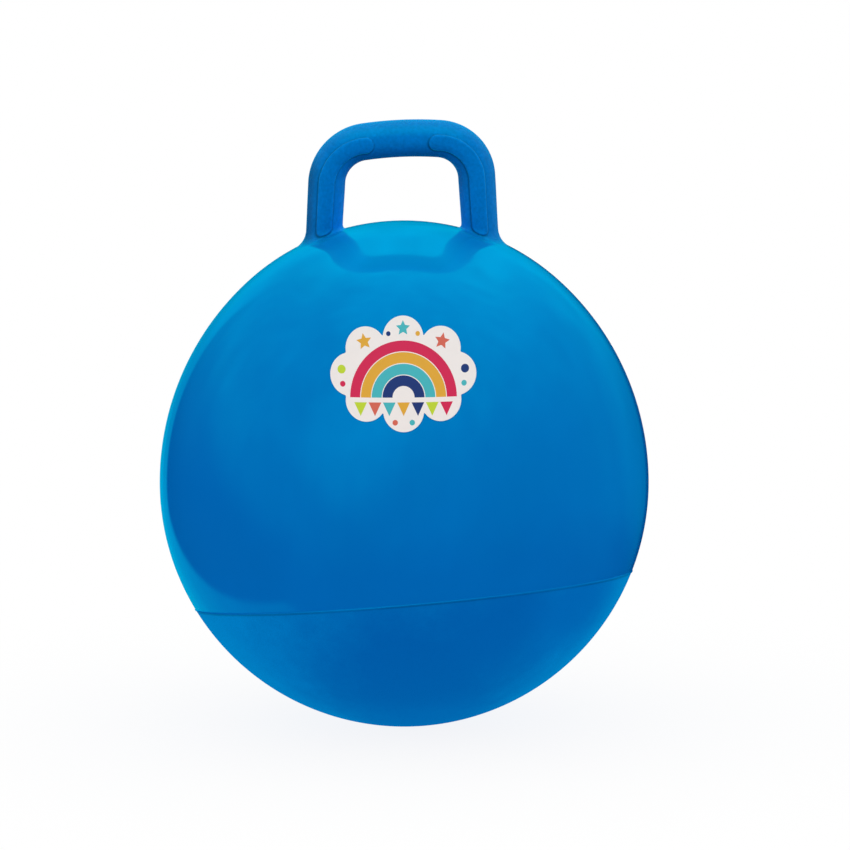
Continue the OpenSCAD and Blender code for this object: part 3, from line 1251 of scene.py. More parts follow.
@dataclass(frozen=True)
class PrintFinish:
    """Printed film: inks by face, a little uneven, under a satin varnish."""

    name: str
    attribute: str
    relief: Relief = Relief(
        roughness=0.5, spread=0.05, fine=900.0, share=0.3, depth=0.05, broad=60.0, smears=40.0)
    specular: float = 0.2
    mottle: float = 0.03
    cloud: float = 90.0

    def material(self, effects: Effects) -> bpy.types.Material:
        """Make the material.

        Args:
            effects: The shared shader groups.

        Returns:
            The material.
        """
        material, nodes, shader = new_material(self.name)
        links = material.node_tree.links
        shader.inputs["Specular IOR Level"].default_value = self.specular
        ink = nodes.add("ShaderNodeVertexColor", {"layer_name": self.attribute}).outputs["Color"]
        uneven = nodes.group(effects.mottle, Color=ink, Scale=self.cloud, Amount=self.mottle)
        links.new(uneven["Color"], shader.inputs["Base Color"])
        links.new(self.relief.rough(nodes, effects), shader.inputs["Roughness"])
        links.new(self.relief.normal(nodes, effects), shader.inputs["Normal"])
        return material


class Ink(Enum):
    """Colours of the sticker, linear."""

    CREAM = (0.84, 0.76, 0.73)
    CRIMSON = (0.64, 0.014, 0.07)
    CORAL = (0.66, 0.12, 0.076)
    AMBER = (0.73, 0.35, 0.034)
    LIME = (0.51, 0.61, 0.032)
    TEAL = (0.06, 0.41, 0.44)
    NAVY = (0.015, 0.022, 0.12)


@dataclass(frozen=True)
class Piece:
    """Where a finished piece belongs in the frame."""

    name: str
    body: Body
    slot: Slot
    node: str

    def seat(self, sheet: Sheet, material: bpy.types.Material) -> bpy.types.Object:
        """Make the piece, dress it and seat it in the frame.

        Args:
            sheet: Its closed skin.
            material: Its material.

        Returns:
            The object.
        """
        obj = sheet.make(self.name)
        obj.data.materials.append(material)
        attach(obj, self.body.value)
        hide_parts(self.node)
        LOG.info("%s: %d points, %d faces", self.name, len(sheet.points), len(sheet.faces))
        return obj


@dataclass
class UpperSkin:
    """Glossy skin above the seam, with openings for the legs and the valve.

    Attributes:
        ball: The ball.
        handle: The handle on it.
        valve: The valve in it.
        patch_rise: Rise of the normal at the edge of the crown's patch, in degrees.
        turns: Points in a ring.
        rows: Rings between the patch and the seam.
        pitch: Distance between the patch's free points.
        edge_room: Room between them and the patch's edge, in pitches.
        hole_steps: Points round the valve's hole.
        skirts: Distances of the rings of points round each foot.
        valve_skirt: Distance of the ring of points round the valve's hole.
        foot_room: Room between the free points and a foot.
        valve_room: Room between the free points and the valve's hole.
        seam_row: Room between the last plain ring and those near the seam.
        near_seam: Distances of the rings near the seam.
    """

    ball: BallForm
    handle: HandleForm
    valve: ValveForm
    patch_rise: float = 49.0
    turns: int = 240
    rows: int = 46
    pitch: float = 6.0
    edge_room: float = 0.6
    hole_steps: int = 48
    skirts: Pair = (1.6, 5.0)
    valve_skirt: float = 1.5
    foot_room: float = 8.0
    valve_room: float = 5.0
    seam_row: float = 1.2
    near_seam: tuple[float, ...] = (3.0, 2.2, 1.6, 1.2, 0.9, 0.6, 0.35, 0.15, 0.0)

    def flat(self, points: Array) -> Array:
        """Lay points of the crown out in a plane, true to area."""
        normal = (points - self.ball.crown_centre) / self.ball.crown
        return self.ball.crown * normal[:, :2] * np.sqrt(2.0 / (1.0 + normal[:, 2:]))

    def crown_normals(self, flat: Array) -> Array:
        """Give the crown's normals at points of that plane."""
        far = np.sum((flat / self.ball.crown) ** 2, axis=1, keepdims=True)
        return np.concatenate([flat / self.ball.crown * np.sqrt(1.0 - far / 4.0), 1.0 - far / 2.0], axis=1)

    def valve_ring(self, radius: float) -> Array:
        """Give a ring of crown points round the valve.

        Args:
            radius: Radius of the ring.

        Returns:
            The points.
        """
        turn = np.linspace(0.0, FULL_TURN, self.hole_steps, endpoint=False)[:, None]
        side = np.cross(self.valve.axis, RIGHT)
        ring = radius * (np.cos(turn) * np.array(RIGHT) + np.sin(turn) * side)
        return self.ball.crown_centre + ring + math.sqrt(self.ball.crown ** 2 - radius ** 2) * self.valve.axis

    def toe_ring(self, angles: Array, side: float, margin: float) -> Array:
        """Give a ring of crown points round a foot of the handle."""
        reach = self.handle.leg_d / 2.0 + self.handle.fillet(angles) + margin
        return self.handle.on_crown(reach, angles) * np.array([side, 1.0, 1.0])

    def sides(self) -> tuple[Array, Array, list[list[int]]]:
        """Build the rings from the edge of the crown's patch down to the seam.

        Returns:
            Their points and normals, and their faces.
        """
        ball = self.ball
        turn = np.linspace(0.0, FULL_TURN, self.turns, endpoint=False)
        seam = ball.seam_rise(turn)
        start = math.radians(self.patch_rise)
        last = seam + (self.near_seam[0] + self.seam_row) / ball.radius
        rises = [mix(start, last, i / self.rows) for i in range(self.rows + 1)]
        rises += [seam + gap / ball.radius for gap in self.near_seam]
        rise = np.stack(rises)
        points, normals = ball.band(rise, turn + 0.0 * rise, (rise - seam) * ball.radius, 1.0)
        points, normals = points.reshape(-1, 3), normals.reshape(-1, 3)
        return points, ball.eased(points, normals), grid_faces(len(rises), self.turns)

    def patch(self, edge: Array, foot_steps: int) -> tuple[Array, Array]:
        """Lay out the crown's patch, with its openings for the legs and the valve.

        Args:
            edge: Points of the patch's edge.
            foot_steps: Points round a foot of the handle.

        Returns:
            Its points in the plane, those of the edge first, and its triangles.
        """
        hole = self.valve.hole
        inner, outer = self.skirts
        angles = np.linspace(0.0, FULL_TURN, foot_steps, endpoint=False)
        holes = [self.toe_ring(angles, side, 0.0) for side in SIDES] + [self.valve_ring(hole)]
        skirts = [self.toe_ring(angles[::2], side, inner) for side in SIDES]
        skirts += [self.valve_ring(hole + self.valve_skirt)]
        skirts += [self.toe_ring(angles[::4], side, outer) for side in SIDES]
        rooms = [self.toe_ring(angles, side, self.foot_room) for side in SIDES]
        rooms += [self.valve_ring(hole + self.valve_room)]
        loops = [self.flat(ring) for ring in [edge] + holes]
        size = float(np.linalg.norm(loops[0][0]))
        free = lattice(size, size, self.pitch)
        free = free[np.hypot(*free.T) < size - self.edge_room * self.pitch]
        for ring in rooms:
            free = free[~within(self.flat(ring), free)]
        flat, triangles = triangulate(loops, np.concatenate([self.flat(ring) for ring in skirts] + [free]))
        for loop in loops[1:]:
            triangles = triangles[~within(loop, flat[triangles].mean(axis=1))]
        return flat, anticlockwise(flat, triangles)

    def build(self, foot_steps: int) -> Sheet:
        """Build the skin.

        Args:
            foot_steps: Points round a foot of the handle.

        Returns:
            The closed skin.
        """
        points, normals, faces = self.sides()
        flat, triangles = self.patch(points[:self.turns], foot_steps)
        crown = self.crown_normals(flat[self.turns:])
        top = self.ball.crown_centre + self.ball.crown * crown
        index = np.concatenate([np.arange(self.turns), len(points) + np.arange(len(crown))])
        return Sheet(
            np.concatenate([points, top]),
            np.concatenate([normals, self.ball.eased(top, crown)]),
            faces + index[triangles].tolist()).lined(self.ball.skin)

    def dress(self, foot_steps: int, effects: Effects, finish: VinylFinish) -> bpy.types.Object:
        """Build the skin and give it its finish."""
        piece = Piece("upper_skin", Body.BALL, Slot.GLOSS, "upper_shell")
        return piece.seat(self.build(foot_steps), finish.material(effects))


@dataclass
class LowerSkin:
    """Matt, grained skin below the seam, with the flat patch that it stands on."""

    ball: BallForm
    turns: int = 240
    rows: int = 44
    patch_rows: int = 6
    seam_row: float = 1.2
    near_seam: tuple[float, ...] = (0.0, 0.15, 0.35, 0.6, 0.9, 1.2, 1.6, 2.2, 3.0)

    def build(self) -> Sheet:
        """Build the skin.

        Returns:
            The closed skin.
        """
        ball = self.ball
        turn = np.linspace(0.0, FULL_TURN, self.turns, endpoint=False)
        seam = ball.seam_rise(turn)
        rises = [seam - gap / ball.radius for gap in self.near_seam]
        first = seam - (self.near_seam[-1] + self.seam_row) / ball.radius
        rises += [mix(first, ball.foot_rise, i / self.rows) for i in range(self.rows + 1)]
        rise = np.stack(rises)
        points, normals = ball.band(rise, turn + 0.0 * rise, (seam - rise) * ball.radius, -1.0)
        edge = points[-1]
        shrink = [1.0 - i / self.patch_rows for i in range(1, self.patch_rows)]
        patch = np.concatenate([edge * np.array([k, k, 1.0]) for k in shrink] + [[[0.0, 0.0, edge[0, 2]]]])
        down = np.tile([0.0, 0.0, -1.0], (len(patch), 1))
        return Sheet(
            np.concatenate([points.reshape(-1, 3), patch]),
            np.concatenate([normals.reshape(-1, 3), down]),
            disc_faces(len(rises) + len(shrink), self.turns)).lined(ball.skin)

    def dress(self, effects: Effects, finish: VinylFinish) -> bpy.types.Object:
        """Build the skin and give it its finish."""
        piece = Piece("lower_skin", Body.BALL, Slot.MATT, "lower_shell")
        return piece.seat(self.build(), finish.material(effects))


@dataclass
class LoopHandle:
    """Hollow loop handle with its grip ribs and its feet, which run out on the crown."""

    form: HandleForm
    light: HandleLight
    steps: int = 160
    pitch: float = 0.8
    bore_rows: int = 40
    nudge: float = 0.02
    attribute: str = "shade"

    def build(self) -> tuple[Sheet, Array]:
        """Build the handle.

        Returns:
            The closed skin, and at each of its points the light in each colour, with how far the
            foot has run out as its alpha.
        """
        form = self.form
        half = np.arange(0.0, form.toe, self.pitch)
        half = np.append(half[:-1], form.toe)
        place = np.concatenate([-half[:0:-1], half])[:, None]
        angle = np.linspace(0.0, FULL_TURN, self.steps, endpoint=False)[None, :]
        place, angle = np.broadcast_arrays(place, angle)
        points = form.outside(place, angle)
        turn = self.nudge / (form.bar_d / 2.0)
        along = form.outside(place + self.nudge, angle) - form.outside(place - self.nudge, angle)
        around = form.outside(place, angle + turn) - form.outside(place, angle - turn)
        normals = unit(np.cross(along, around))
        bore_place = np.linspace(form.toe, -form.toe, self.bore_rows)[:, None]
        bore_place, bore_angle = np.broadcast_arrays(bore_place, angle[:1])
        bore = form.bore(bore_place, bore_angle)
        bore_normals = unit(bore.mean(axis=1, keepdims=True) - bore)
        rings = len(points) + len(bore)
        count = rings * self.steps
        faces = [[i % count for i in face] for face in grid_faces(rings + 1, self.steps)]
        # The bore is painted with the full shade of the hand's gap.
        dark = [*(3 * [1.0 - self.light.gap_shade]), 0.0]
        shade = np.concatenate([self.light.colours(place, angle), np.tile(dark, (bore_angle.size, 1))])
        return Sheet(
            np.concatenate([points, bore]).reshape(-1, 3),
            np.concatenate([normals, bore_normals]).reshape(-1, 3), faces), shade

    def dress(self, effects: Effects, finish: VinylFinish) -> bpy.types.Object:
        """Build the handle, paint its light and give it its finish.

        Args:
            effects: The shared shader groups.
            finish: Finish of the handle.

        Returns:
            The object.
        """
        sheet, shade = self.build()
        piece = Piece("loop_handle", Body.BALL, Slot.HANDLE, "handle")
        obj = piece.seat(sheet, finish.material(effects))
        layer = obj.data.color_attributes.new(self.attribute, "FLOAT_COLOR", "POINT")
        layer.data.foreach_set("color", shade.ravel())
        return obj


@dataclass
class Sticker:
    """Contour-cut film on the front with a print of plain shapes."""

    ball: BallForm
    width: float = 129.0
    height: float = 96.0
    lobe: float = 18.0
    lobes: int = 8
    rise: float = 126.0
    lift: float = 0.4
    thickness: float = 0.35
    pitch: float = 5.0
    corners: int = 288
    inset: float = 0.97
    ground: float = -19.0
    arch_inner: float = 38.2
    arch_step: float = 9.5
    arch_width: float = 8.8
    flag_step: float = 12.6
    flag_half: float = 5.6
    flag_top: float = 4.0
    flag_tip: float = 15.5
    attribute: str = "ink"

    def outline(self) -> Array:
        """Give the lobed outline in the front view.

        Returns:
            Its corners.
        """
        ring_w, ring_h = self.width / 2.0 - self.lobe, self.height / 2.0 - self.lobe
        step = FULL_TURN / self.lobes
        middles = [(ring_w * math.cos(i * step), ring_h * math.sin(i * step)) for i in range(self.lobes)]
        turn = np.linspace(0.0, FULL_TURN, self.corners, endpoint=False)
        way = np.stack([np.cos(turn), np.sin(turn)], axis=1)
        far = np.zeros(len(turn))
        for middle in middles:
            along = way @ np.array(middle)
            room = self.lobe ** 2 - (np.dot(middle, middle) - along ** 2)
            far = np.maximum(far, np.where(room > 0.0, along + np.sqrt(np.maximum(room, 0.0)), 0.0))
        return way * far[:, None]

    @staticmethod
    def disc(x: float, y: float, radius: float, corners: int = 40) -> Array:
        """Give a round shape."""
        turn = np.linspace(0.0, FULL_TURN, corners, endpoint=False)
        return np.stack([x + radius * np.cos(turn), y + radius * np.sin(turn)], axis=1)

    @staticmethod
    def star(x: float, y: float, radius: float, lean: float, points: int = 5, waist: float = 0.48) -> Array:
        """Give a star.

        Args:
            x: Place across.
            y: Place upward.
            radius: Radius of its points.
            lean: Turn to the left, in degrees.
            points: Number of its points.
            waist: Radius between the points, as a share.

        Returns:
            Its corners.
        """
        turn = np.linspace(0.0, FULL_TURN, 2 * points, endpoint=False) + math.radians(90.0 + lean)
        far = np.where(np.arange(2 * points) % 2 == 0, radius, waist * radius)
        return np.stack([x + far * np.cos(turn), y + far * np.sin(turn)], axis=1)

    @staticmethod
    def arch(x: float, y: float, inner: float, outer: float, corners: int = 48) -> Array:
        """Give half a ring that stands on its ends.

        Args:
            x: Place of its middle across.
            y: Place of its ends upward.
            inner: Inner radius.
            outer: Outer radius.
            corners: Corners along each side.

        Returns:
            Its corners.
        """
        turn = np.linspace(0.0, math.pi, corners)
        way = np.stack([np.cos(turn), np.sin(turn)], axis=1)
        return np.concatenate([way * outer, way[::-1] * inner]) + np.array([x, y])

    def shapes(self) -> list[tuple[Ink, Array]]:
        """List the printed shapes, the upper ones last.

        Returns:
            The ink and the corners of each shape.
        """
        shapes = []
        for i, ink in enumerate((Ink.CRIMSON, Ink.AMBER, Ink.TEAL, Ink.NAVY)):
            inner = self.arch_inner - i * self.arch_step
            shapes.append((ink, self.arch(0.0, self.ground, inner, inner + self.arch_width)))
        flags = [Ink.LIME, Ink.CORAL, Ink.TEAL, Ink.AMBER, Ink.NAVY, Ink.LIME, Ink.CRIMSON]
        top, tip = self.ground - self.flag_top, self.ground - self.flag_tip
        for i, ink in enumerate(flags):
            x = (i - (len(flags) - 1) / 2.0) * self.flag_step
            shapes.append((ink, np.array([[x - self.flag_half, top], [x, tip], [x + self.flag_half, top]])))
        shapes += [
            (Ink.AMBER, self.star(-34.5, 27.0, 7.0, 10.0)),
            (Ink.CORAL, self.star(34.5, 27.0, 7.0, -12.0)),
            (Ink.TEAL, self.star(0.0, 38.0, 6.5, 0.0)),
            (Ink.LIME, self.disc(-54.5, 4.0, 3.6)),
            (Ink.NAVY, self.disc(54.5, 4.0, 3.6)),
            (Ink.CRIMSON, self.disc(-53.5, -8.0, 2.4)),
            (Ink.TEAL, self.disc(53.5, -8.0, 2.4)),
            (Ink.NAVY, self.disc(-13.0, 33.5, 2.0)),
            (Ink.AMBER, self.disc(13.0, 33.5, 2.0)),
            (Ink.CORAL, self.disc(-7.5, -40.0, 2.4)),
            (Ink.TEAL, self.disc(7.5, -40.0, 2.4)),
        ]
        return shapes

    def build(self) -> tuple[Sheet, list[Ink]]:
        """Build the film.

        Returns:
            The closed film and the ink of each face of its front.
        """
        outline = self.outline()
        shapes = self.shapes()
        loops = [outline] + [shape for _, shape in shapes]
        free = lattice(self.width / 2.0, self.height / 2.0, self.pitch)
        free = free[within(self.inset * outline, free)]
        flat, triangles = triangulate(loops, free)
        middles = flat[triangles].mean(axis=1)
        inside = within(outline, middles)
        triangles, middles = anticlockwise(flat, triangles[inside]), middles[inside]
        inks = [Ink.CREAM] * len(triangles)
        for ink, shape in shapes:
            for i in np.flatnonzero(within(shape, middles)):
                inks[i] = ink
        points, normals = self.ball.front(flat[:, 0], self.ball.middle + self.rise + flat[:, 1], self.lift)
        return Sheet(points, normals, triangles.tolist()).lined(self.thickness), inks

    def dress(self, effects: Effects, finish: PrintFinish) -> bpy.types.Object:
        """Build the film, print it and give it its finish.

        Args:
            effects: The shared shader groups.
            finish: Finish of the film.

        Returns:
            The object.
        """
        sheet, inks = self.build()
        piece = Piece("sticker_print", Body.BALL, Slot.FILM, "front_sticker")
        obj = piece.seat(sheet, finish.material(effects))
        layer = obj.data.color_attributes.new(self.attribute, "FLOAT_COLOR", "CORNER")
        for face in obj.data.polygons:
            ink = inks[face.index] if face.index < len(inks) else Ink.CREAM
            for corner in face.loop_indices:
                layer.data[corner].color = (*ink.value, 1.0)
        return obj


@dataclass
class Valve:
    """Valve sleeve and plug of the frame, with their finishes."""

    sleeve: str = "valve_sleeve"
    plug: str = "valve_plug"

    def dress(self, effects: Effects, sleeve_finish: VinylFinish, plug_finish: VinylFinish) -> None:
        """Give both nodes their finishes.

        Args:
            effects: The shared shader groups.
            sleeve_finish: Finish of the sleeve.
            plug_finish: Finish of the plug.
        """
        for node, finish in ((self.sleeve, sleeve_finish), (self.plug, plug_finish)):
            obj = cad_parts[node]
            obj.data.materials.clear()
            obj.data.materials.append(finish.material(effects))
            LOG.info("%s: %s", node, finish.name)


@dataclass(frozen=True)
class Edge:
    """Soft edge of an area of the room, by how far a direction faces a given way."""

    way: Point
    low: float
    high: float
    start: float = 0.0
    end: float = 1.0
    shape: str = "SMOOTHSTEP"

    def step(self, nodes: Nodes, way: Socket) -> Socket:
        """Give the step at this edge for a direction."""
        facing = nodes.facing(way, self.way)
        return nodes.step(facing, self.low, self.high, self.start, self.end, self.shape)


@dataclass(frozen=True)
class Room:
    """What shiny skin sees: a sky that gets brighter upward, with darker and paler areas.

    Attributes:
        sky: Brightness by the rise of a direction.
        ragged: Swing of the rise, which makes the sky uneven.
        ragged_scale: Scale of that unevenness.
        right_drop: How much darker the sky is at the right, as a drop of the rise.
        darks: Dark areas by their edges: low behind, all behind, high on the left, a panel on the
            left, low at the back on the right, and a slit straight behind.
        sweep: Edges of the pale floor on the left.
        paper: Edges of a pale sheet beside the left foot.
        lamp: Soft lamp in front on the left.
        cloud: Swing of the brightness in broad clouds.
        cloud_scale: Scale of those clouds.
        cloud_stretch: Their stretch.
        roughness: Roughness of both noises.
    """

    sky: tuple[Pair, ...] = (
        (-1.0, 0.0), (-0.57, 0.03), (-0.42, 0.3), (-0.26, 0.6), (-0.09, 0.84), (0.09, 1.06), (0.26, 1.4),
        (0.42, 1.95), (0.57, 2.5), (0.71, 3.0), (0.82, 3.3), (0.91, 3.45), (0.97, 3.5), (1.0, 3.5))
    ragged: float = 0.15
    ragged_scale: float = 6.0
    right_drop: Edge = Edge(RIGHT, 0.3, 0.9, 0.0, 0.12)
    darks: tuple[tuple[Edge, ...], ...] = (
        (Edge(BACK, 0.55, 0.95), Edge(UP, -0.05, 0.25, 0.65, 0.0)),
        (Edge(BACK, 0.1, 0.6, 0.0, 0.15),),
        (Edge(UP, 0.3, 0.6), Edge(UP, 0.85, 0.96, 0.28, 0.0), Edge(RIGHT, -0.5, -0.1, 1.0, 0.0)),
        (Edge(PANEL, 0.63, 0.66), Edge(UP, -0.1, 0.5, 0.97, 0.1, "LINEAR"),
         Edge((0.0, 1.0, -1.5), -0.3, 0.3)),
        (Edge(RIGHT, 0.2, 0.4), Edge(BACK, 0.3, 0.6), Edge(UP, -0.36, -0.18, 1.0, 0.0)),
        (Edge(RIGHT, -0.02, 0.05), Edge(RIGHT, 0.30, 0.40, 1.0, 0.0), Edge(BACK, 0.8, 0.9),
         Edge(UP, -0.12, 0.1, 1.0, 0.0)))
    sweep: tuple[Edge, ...] = (
        Edge(UP, -0.25, 0.25, 0.6, 0.0), Edge(RIGHT, -0.2, 0.05, 1.0, 0.0), Edge(PANEL, 0.63, 0.66, 1.0, 0.0),
        Edge(BACK, -0.3, 0.2))
    paper: tuple[Edge, ...] = (
        Edge((-0.590, -0.238, 0.771), -0.09, -0.03, 0.85, 0.0), Edge(BACK, -0.28, -0.12),
        Edge(RIGHT, -0.35, -0.15, 1.0, 0.0))
    lamp: Edge = Edge((-0.413, -0.84, 0.353), 0.84, 1.0, 0.0, 0.9)
    cloud: float = 0.35
    cloud_scale: float = 3.0
    cloud_stretch: Point = (2.5, 2.5, 0.6)
    roughness: float = 0.6

    def sky_light(self, nodes: Nodes, way: Socket) -> Socket:
        """Work out the sky alone.

        Args:
            nodes: Nodes of the world.
            way: Direction in the world.

        Returns:
            The socket of its brightness.
        """
        ragged = nodes.noise(way, self.ragged_scale, detail=5.0, roughness=self.roughness)
        level = nodes.math("ADD", nodes.facing(way, UP), nodes.swing(ragged, self.ragged))
        level = nodes.math("SUBTRACT", level, self.right_drop.step(nodes, way))
        ramp = nodes.add("ShaderNodeValToRGB", Fac=nodes.math("MULTIPLY_ADD", level, 0.5, 0.5))
        top = max(value for _, value in self.sky)
        elements = ramp.color_ramp.elements
        while len(elements) < len(self.sky):
            elements.new(0.5)
        for element, (rise, value) in zip(elements, self.sky):
            element.position = 0.5 + 0.5 * rise
            element.color = (*(3 * [value / top]), 1.0)
        return nodes.math("MULTIPLY", ramp.outputs["Color"], top)

    @staticmethod
    def area(nodes: Nodes, way: Socket, edges: tuple[Edge, ...]) -> Socket:
        """Work out how far directions lie in an area.

        Args:
            nodes: Nodes of the world.
            way: Direction in the world.
            edges: Edges of the area.

        Returns:
            The socket of the share.
        """
        share = edges[0].step(nodes, way)
        for edge in edges[1:]:
            share = nodes.math("MULTIPLY", share, edge.step(nodes, way))
        return share

    def brightness(self, nodes: Nodes) -> Socket:
        """Work out the room.

        Args:
            nodes: Nodes of the world.

        Returns:
            The socket of its brightness in each direction.
        """
        way = nodes.add("ShaderNodeTexCoord").outputs["Generated"]
        room = self.sky_light(nodes, way)
        for edges in self.darks:
            lit = nodes.math("SUBTRACT", 1.0, self.area(nodes, way, edges))
            room = nodes.math("MULTIPLY", room, lit)
        room = nodes.math("ADD", room, self.area(nodes, way, self.sweep))
        room = nodes.math("MAXIMUM", room, self.area(nodes, way, self.paper))
        room = nodes.math("ADD", room, self.lamp.step(nodes, way))
        drawn = nodes.add("ShaderNodeMapping", Vector=way, Scale=self.cloud_stretch).outputs[0]
        cloud = nodes.noise(drawn, self.cloud_scale, detail=5.0, roughness=self.roughness)
        return nodes.math("MULTIPLY", room, nodes.swing(cloud, self.cloud, 1.0))


@dataclass
class Studio:
    """Pale floor, soft light all round, and a room for reflections."""

    room: Room = Room()
    floor_radius: float = 6000.0
    floor_rings: int = 24
    floor_turns: int = 96
    floor_grey: float = 0.97
    floor_roughness: float = 0.9
    floor_glow: float = 0.88
    glow_fade: Pair = (200.0, 700.0)
    ambient: float = 1.0
    gloss_tint: Colour = (0.0, 0.76, 1.0)

    def floor(self) -> bpy.types.Object:
        """Lay the floor, which is white to the camera but for the object's shadow.

        Returns:
            The object.
        """
        turn = np.linspace(0.0, FULL_TURN, self.floor_turns, endpoint=False)
        way = np.stack([np.cos(turn), np.sin(turn), 0.0 * turn], axis=1)
        shares = [(i / self.floor_rings) ** 2 for i in range(self.floor_rings, 0, -1)]
        points = np.concatenate([way * self.floor_radius * share for share in shares] + [np.zeros((1, 3))])
        faces = [face[::-1] for face in disc_faces(self.floor_rings, self.floor_turns)]
        obj = Sheet(points, np.tile(UP, (len(points), 1)), faces).make("studio_floor")
        obj.data.materials.append(self.floor_material())
        obj.visible_glossy = False
        return obj

    def floor_material(self) -> bpy.types.Material:
        """Make the floor's material: pale diffuse, lifted to white where the camera sees it.

        Returns:
            The material.
        """
        material, nodes, shader = new_material("pale_floor")
        links = material.node_tree.links
        shader.inputs["Base Color"].default_value = (*(3 * [self.floor_grey]), 1.0)
        shader.inputs["Roughness"].default_value = self.floor_roughness
        shader.inputs["Specular IOR Level"].default_value = 0.0
        place = nodes.add("ShaderNodeTexCoord").outputs["Object"]
        far = nodes.add("ShaderNodeVectorMath", {"operation": "LENGTH"}, at0=place).outputs["Value"]
        low, high = (value * MM for value in self.glow_fade)
        share = nodes.step(far, low, high, start=self.floor_glow)
        seen = nodes.add("ShaderNodeLightPath").outputs["Is Camera Ray"]
        glow = nodes.add("ShaderNodeEmission", Strength=1.0)
        hidden = nodes.math("SUBTRACT", 1.0, seen)
        blend = nodes.add("ShaderNodeMixShader", Fac=nodes.math("MAXIMUM", share, hidden))
        links.new(shader.outputs[0], blend.inputs[1])
        links.new(glow.outputs[0], blend.inputs[2])
        links.new(blend.outputs[0], material.node_tree.nodes["Material Output"].inputs["Surface"])
        return material

    def world(self) -> None:
        """Set the world: white to the camera, even light, and the room for reflections."""
        world = bpy.data.worlds.new("studio")
        bpy.context.scene.world = world
        world.use_nodes = True
        world.cycles.sampling_method = "NONE"
        world.node_tree.nodes.clear()
        nodes = Nodes(world.node_tree)
        tint = (*self.gloss_tint, 1.0)
        plain = (1.0, 1.0, 1.0, 1.0)
        gloss = nodes.add("ShaderNodeBackground", Color=tint, Strength=self.room.brightness(nodes)).outputs[0]
        even = nodes.add("ShaderNodeBackground", Color=plain, Strength=self.ambient).outputs[0]
        white = nodes.add("ShaderNodeBackground", Color=plain, Strength=1.0).outputs[0]
        rays = nodes.add("ShaderNodeLightPath").outputs
        clear = nodes.math("MAXIMUM", rays["Is Camera Ray"], rays["Is Transmission Ray"])
        light = nodes.add("ShaderNodeMixShader", Fac=rays["Is Glossy Ray"], at1=even, at2=gloss).outputs[0]
        whole = nodes.add("ShaderNodeMixShader", Fac=clear, at1=light, at2=white).outputs[0]
        nodes.add("ShaderNodeOutputWorld", Surface=whole)

    def build(self) -> None:
        """Set up the floor and the world."""
        self.floor()
        self.world()


@dataclass(frozen=True)
class View:
    """Camera of the photograph: a long lens a little above the ball's middle."""

    ball: BallForm
    distance: float = 5000.0
    elevation: float = 9.0
    roll: float = 0.45
    sensor: float = 36.0
    frame_px: float = 850.0
    ball_px: float = 489.0
    ball_at: Pair = (404.25, 482.0)
    aims: int = 3
    sight: float = 100000.0

    def build(self) -> bpy.types.Object:
        """Place the camera, and turn it until the ball is where the photograph has it.

        Returns:
            The camera.
        """
        middle = Vector((0.0, 0.0, self.ball.middle))
        rise = math.radians(self.elevation)
        eye = middle + self.distance * Vector((0.0, -math.cos(rise), math.sin(rise)))
        radius = self.ball.radius
        seen = 2.0 * radius * self.distance / math.sqrt(self.distance ** 2 - radius ** 2)
        scale = seen / self.ball_px
        roll = math.radians(self.roll)
        aim = middle
        for _ in range(self.aims):
            forward = (aim - eye).normalized()
            side = forward.cross(Vector(UP)).normalized()
            top = side.cross(forward)
            right = math.cos(roll) * side - math.sin(roll) * top
            up = math.cos(roll) * top + math.sin(roll) * side
            turn = Matrix((right, up, -forward)).transposed()
            across = (self.frame_px / 2.0 - self.ball_at[0]) * scale
            above = (self.ball_at[1] - self.frame_px / 2.0) * scale
            aim = middle + across * right + above * up
        data = bpy.data.cameras.new("photo_camera")
        data.sensor_width = self.sensor
        data.lens = self.sensor * self.distance / (self.frame_px * scale)
        data.clip_end = self.sight * MM
        camera = bpy.data.objects.new("photo_camera", data)
        camera.matrix_world = Matrix.Translation(eye * MM) @ turn.to_4x4()
        bpy.context.scene.collection.objects.link(camera)
        bpy.context.scene.camera = camera
        LOG.info("camera: lens %.1f mm", data.lens)
        return camera


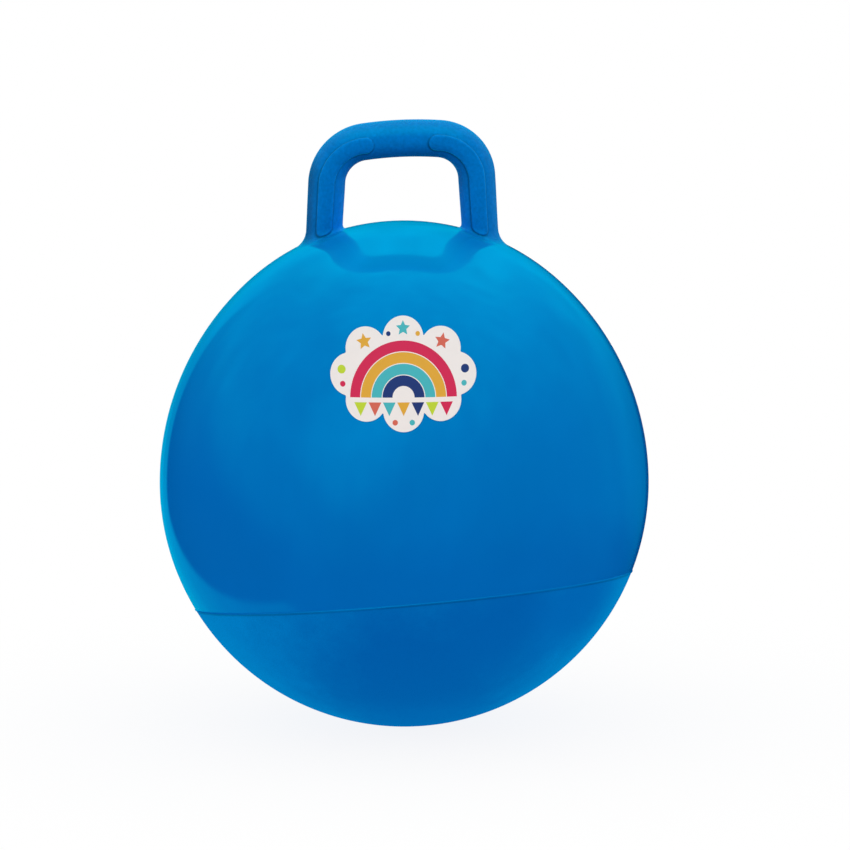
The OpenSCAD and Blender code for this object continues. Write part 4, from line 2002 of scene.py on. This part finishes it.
def main() -> None:
    """Build every piece in order, then the studio and the view."""
    logging.basicConfig(level=logging.INFO, format="%(message)s")
    bpy.context.scene.view_settings.view_transform = "Standard"
    effects = Effects()
    ball = BallForm()
    handle = HandleForm(ball)
    blue = (0.0002, 0.125, 0.445)
    # Painted shade along the seam, just under its bead.
    line = SeamLine(ball)
    # Painted shade: these patches darken the matt skin's pale flanks towards the front, the bottom and the
    # back.
    patches = (PaintedPatch((10.0, -175.0, 65.0), 200.0, (0.0002, 0.1, 0.385)),
               PaintedPatch((95.0, -180.0, 122.0), 85.0, (0.0002, 0.103, 0.395)),
               PaintedPatch((155.0, -130.0, 130.0), 85.0, (0.0002, 0.118, 0.435)),
               PaintedPatch((20.0, -75.0, 10.0), 95.0, (0.0002, 0.108, 0.41)),
               PaintedPatch((0.0, 185.0, 85.0), 240.0, (0.0002, 0.122, 0.45)))
    gloss = VinylFinish(
        "gloss_vinyl", blue, Relief(roughness=0.06, spread=0.025, fine=700.0, share=0.15, depth=0.05),
        mottle=0.06, sheen=0.2, sheen_tint=(0.0, 0.28, 1.0), line=line)
    # The matt skin's pale colour is painted side light on its flanks.
    matt = VinylFinish(
        "matt_vinyl", (0.0003, 0.185, 0.525),
        Relief(roughness=0.6, spread=0.06, fine=900.0, share=0.85, depth=0.2),
        speckle=0.3, specular=0.0, sheen=0.11, patches=patches, line=line)
    # The satin handle gets a painted glow that only reflections see.
    satin = VinylFinish(
        "satin_vinyl", (0.0002, 0.137, 0.472),
        Relief(roughness=0.38, spread=0.05, fine=330.0, share=0.8, depth=0.4),
        mottle=0.14, cloud=55.0, speckle=0.3, specular=0.32, sheen=0.1, attribute=LoopHandle.attribute,
        mirrored=1.4)
    soft = VinylFinish(
        "sleeve_vinyl", blue, Relief(roughness=0.3, spread=0.05, fine=1500.0, share=0.5, depth=0.05))
    white = VinylFinish(
        "plug_plastic", (0.82, 0.83, 0.81),
        Relief(roughness=0.4, spread=0.06, fine=1600.0, share=0.5, depth=0.03), tint=(1.0, 1.0, 1.0))
    loop = LoopHandle(handle, HandleLight(handle))
    UpperSkin(ball, handle, ValveForm()).dress(loop.steps, effects, gloss)
    LowerSkin(ball).dress(effects, matt)
    loop.dress(effects, satin)
    sticker = Sticker(ball)
    sticker.dress(effects, PrintFinish("printed_film", sticker.attribute))
    Valve().dress(effects, soft, white)
    Studio().build()
    View(ball).build()


if __name__ == "__main__":
    main()
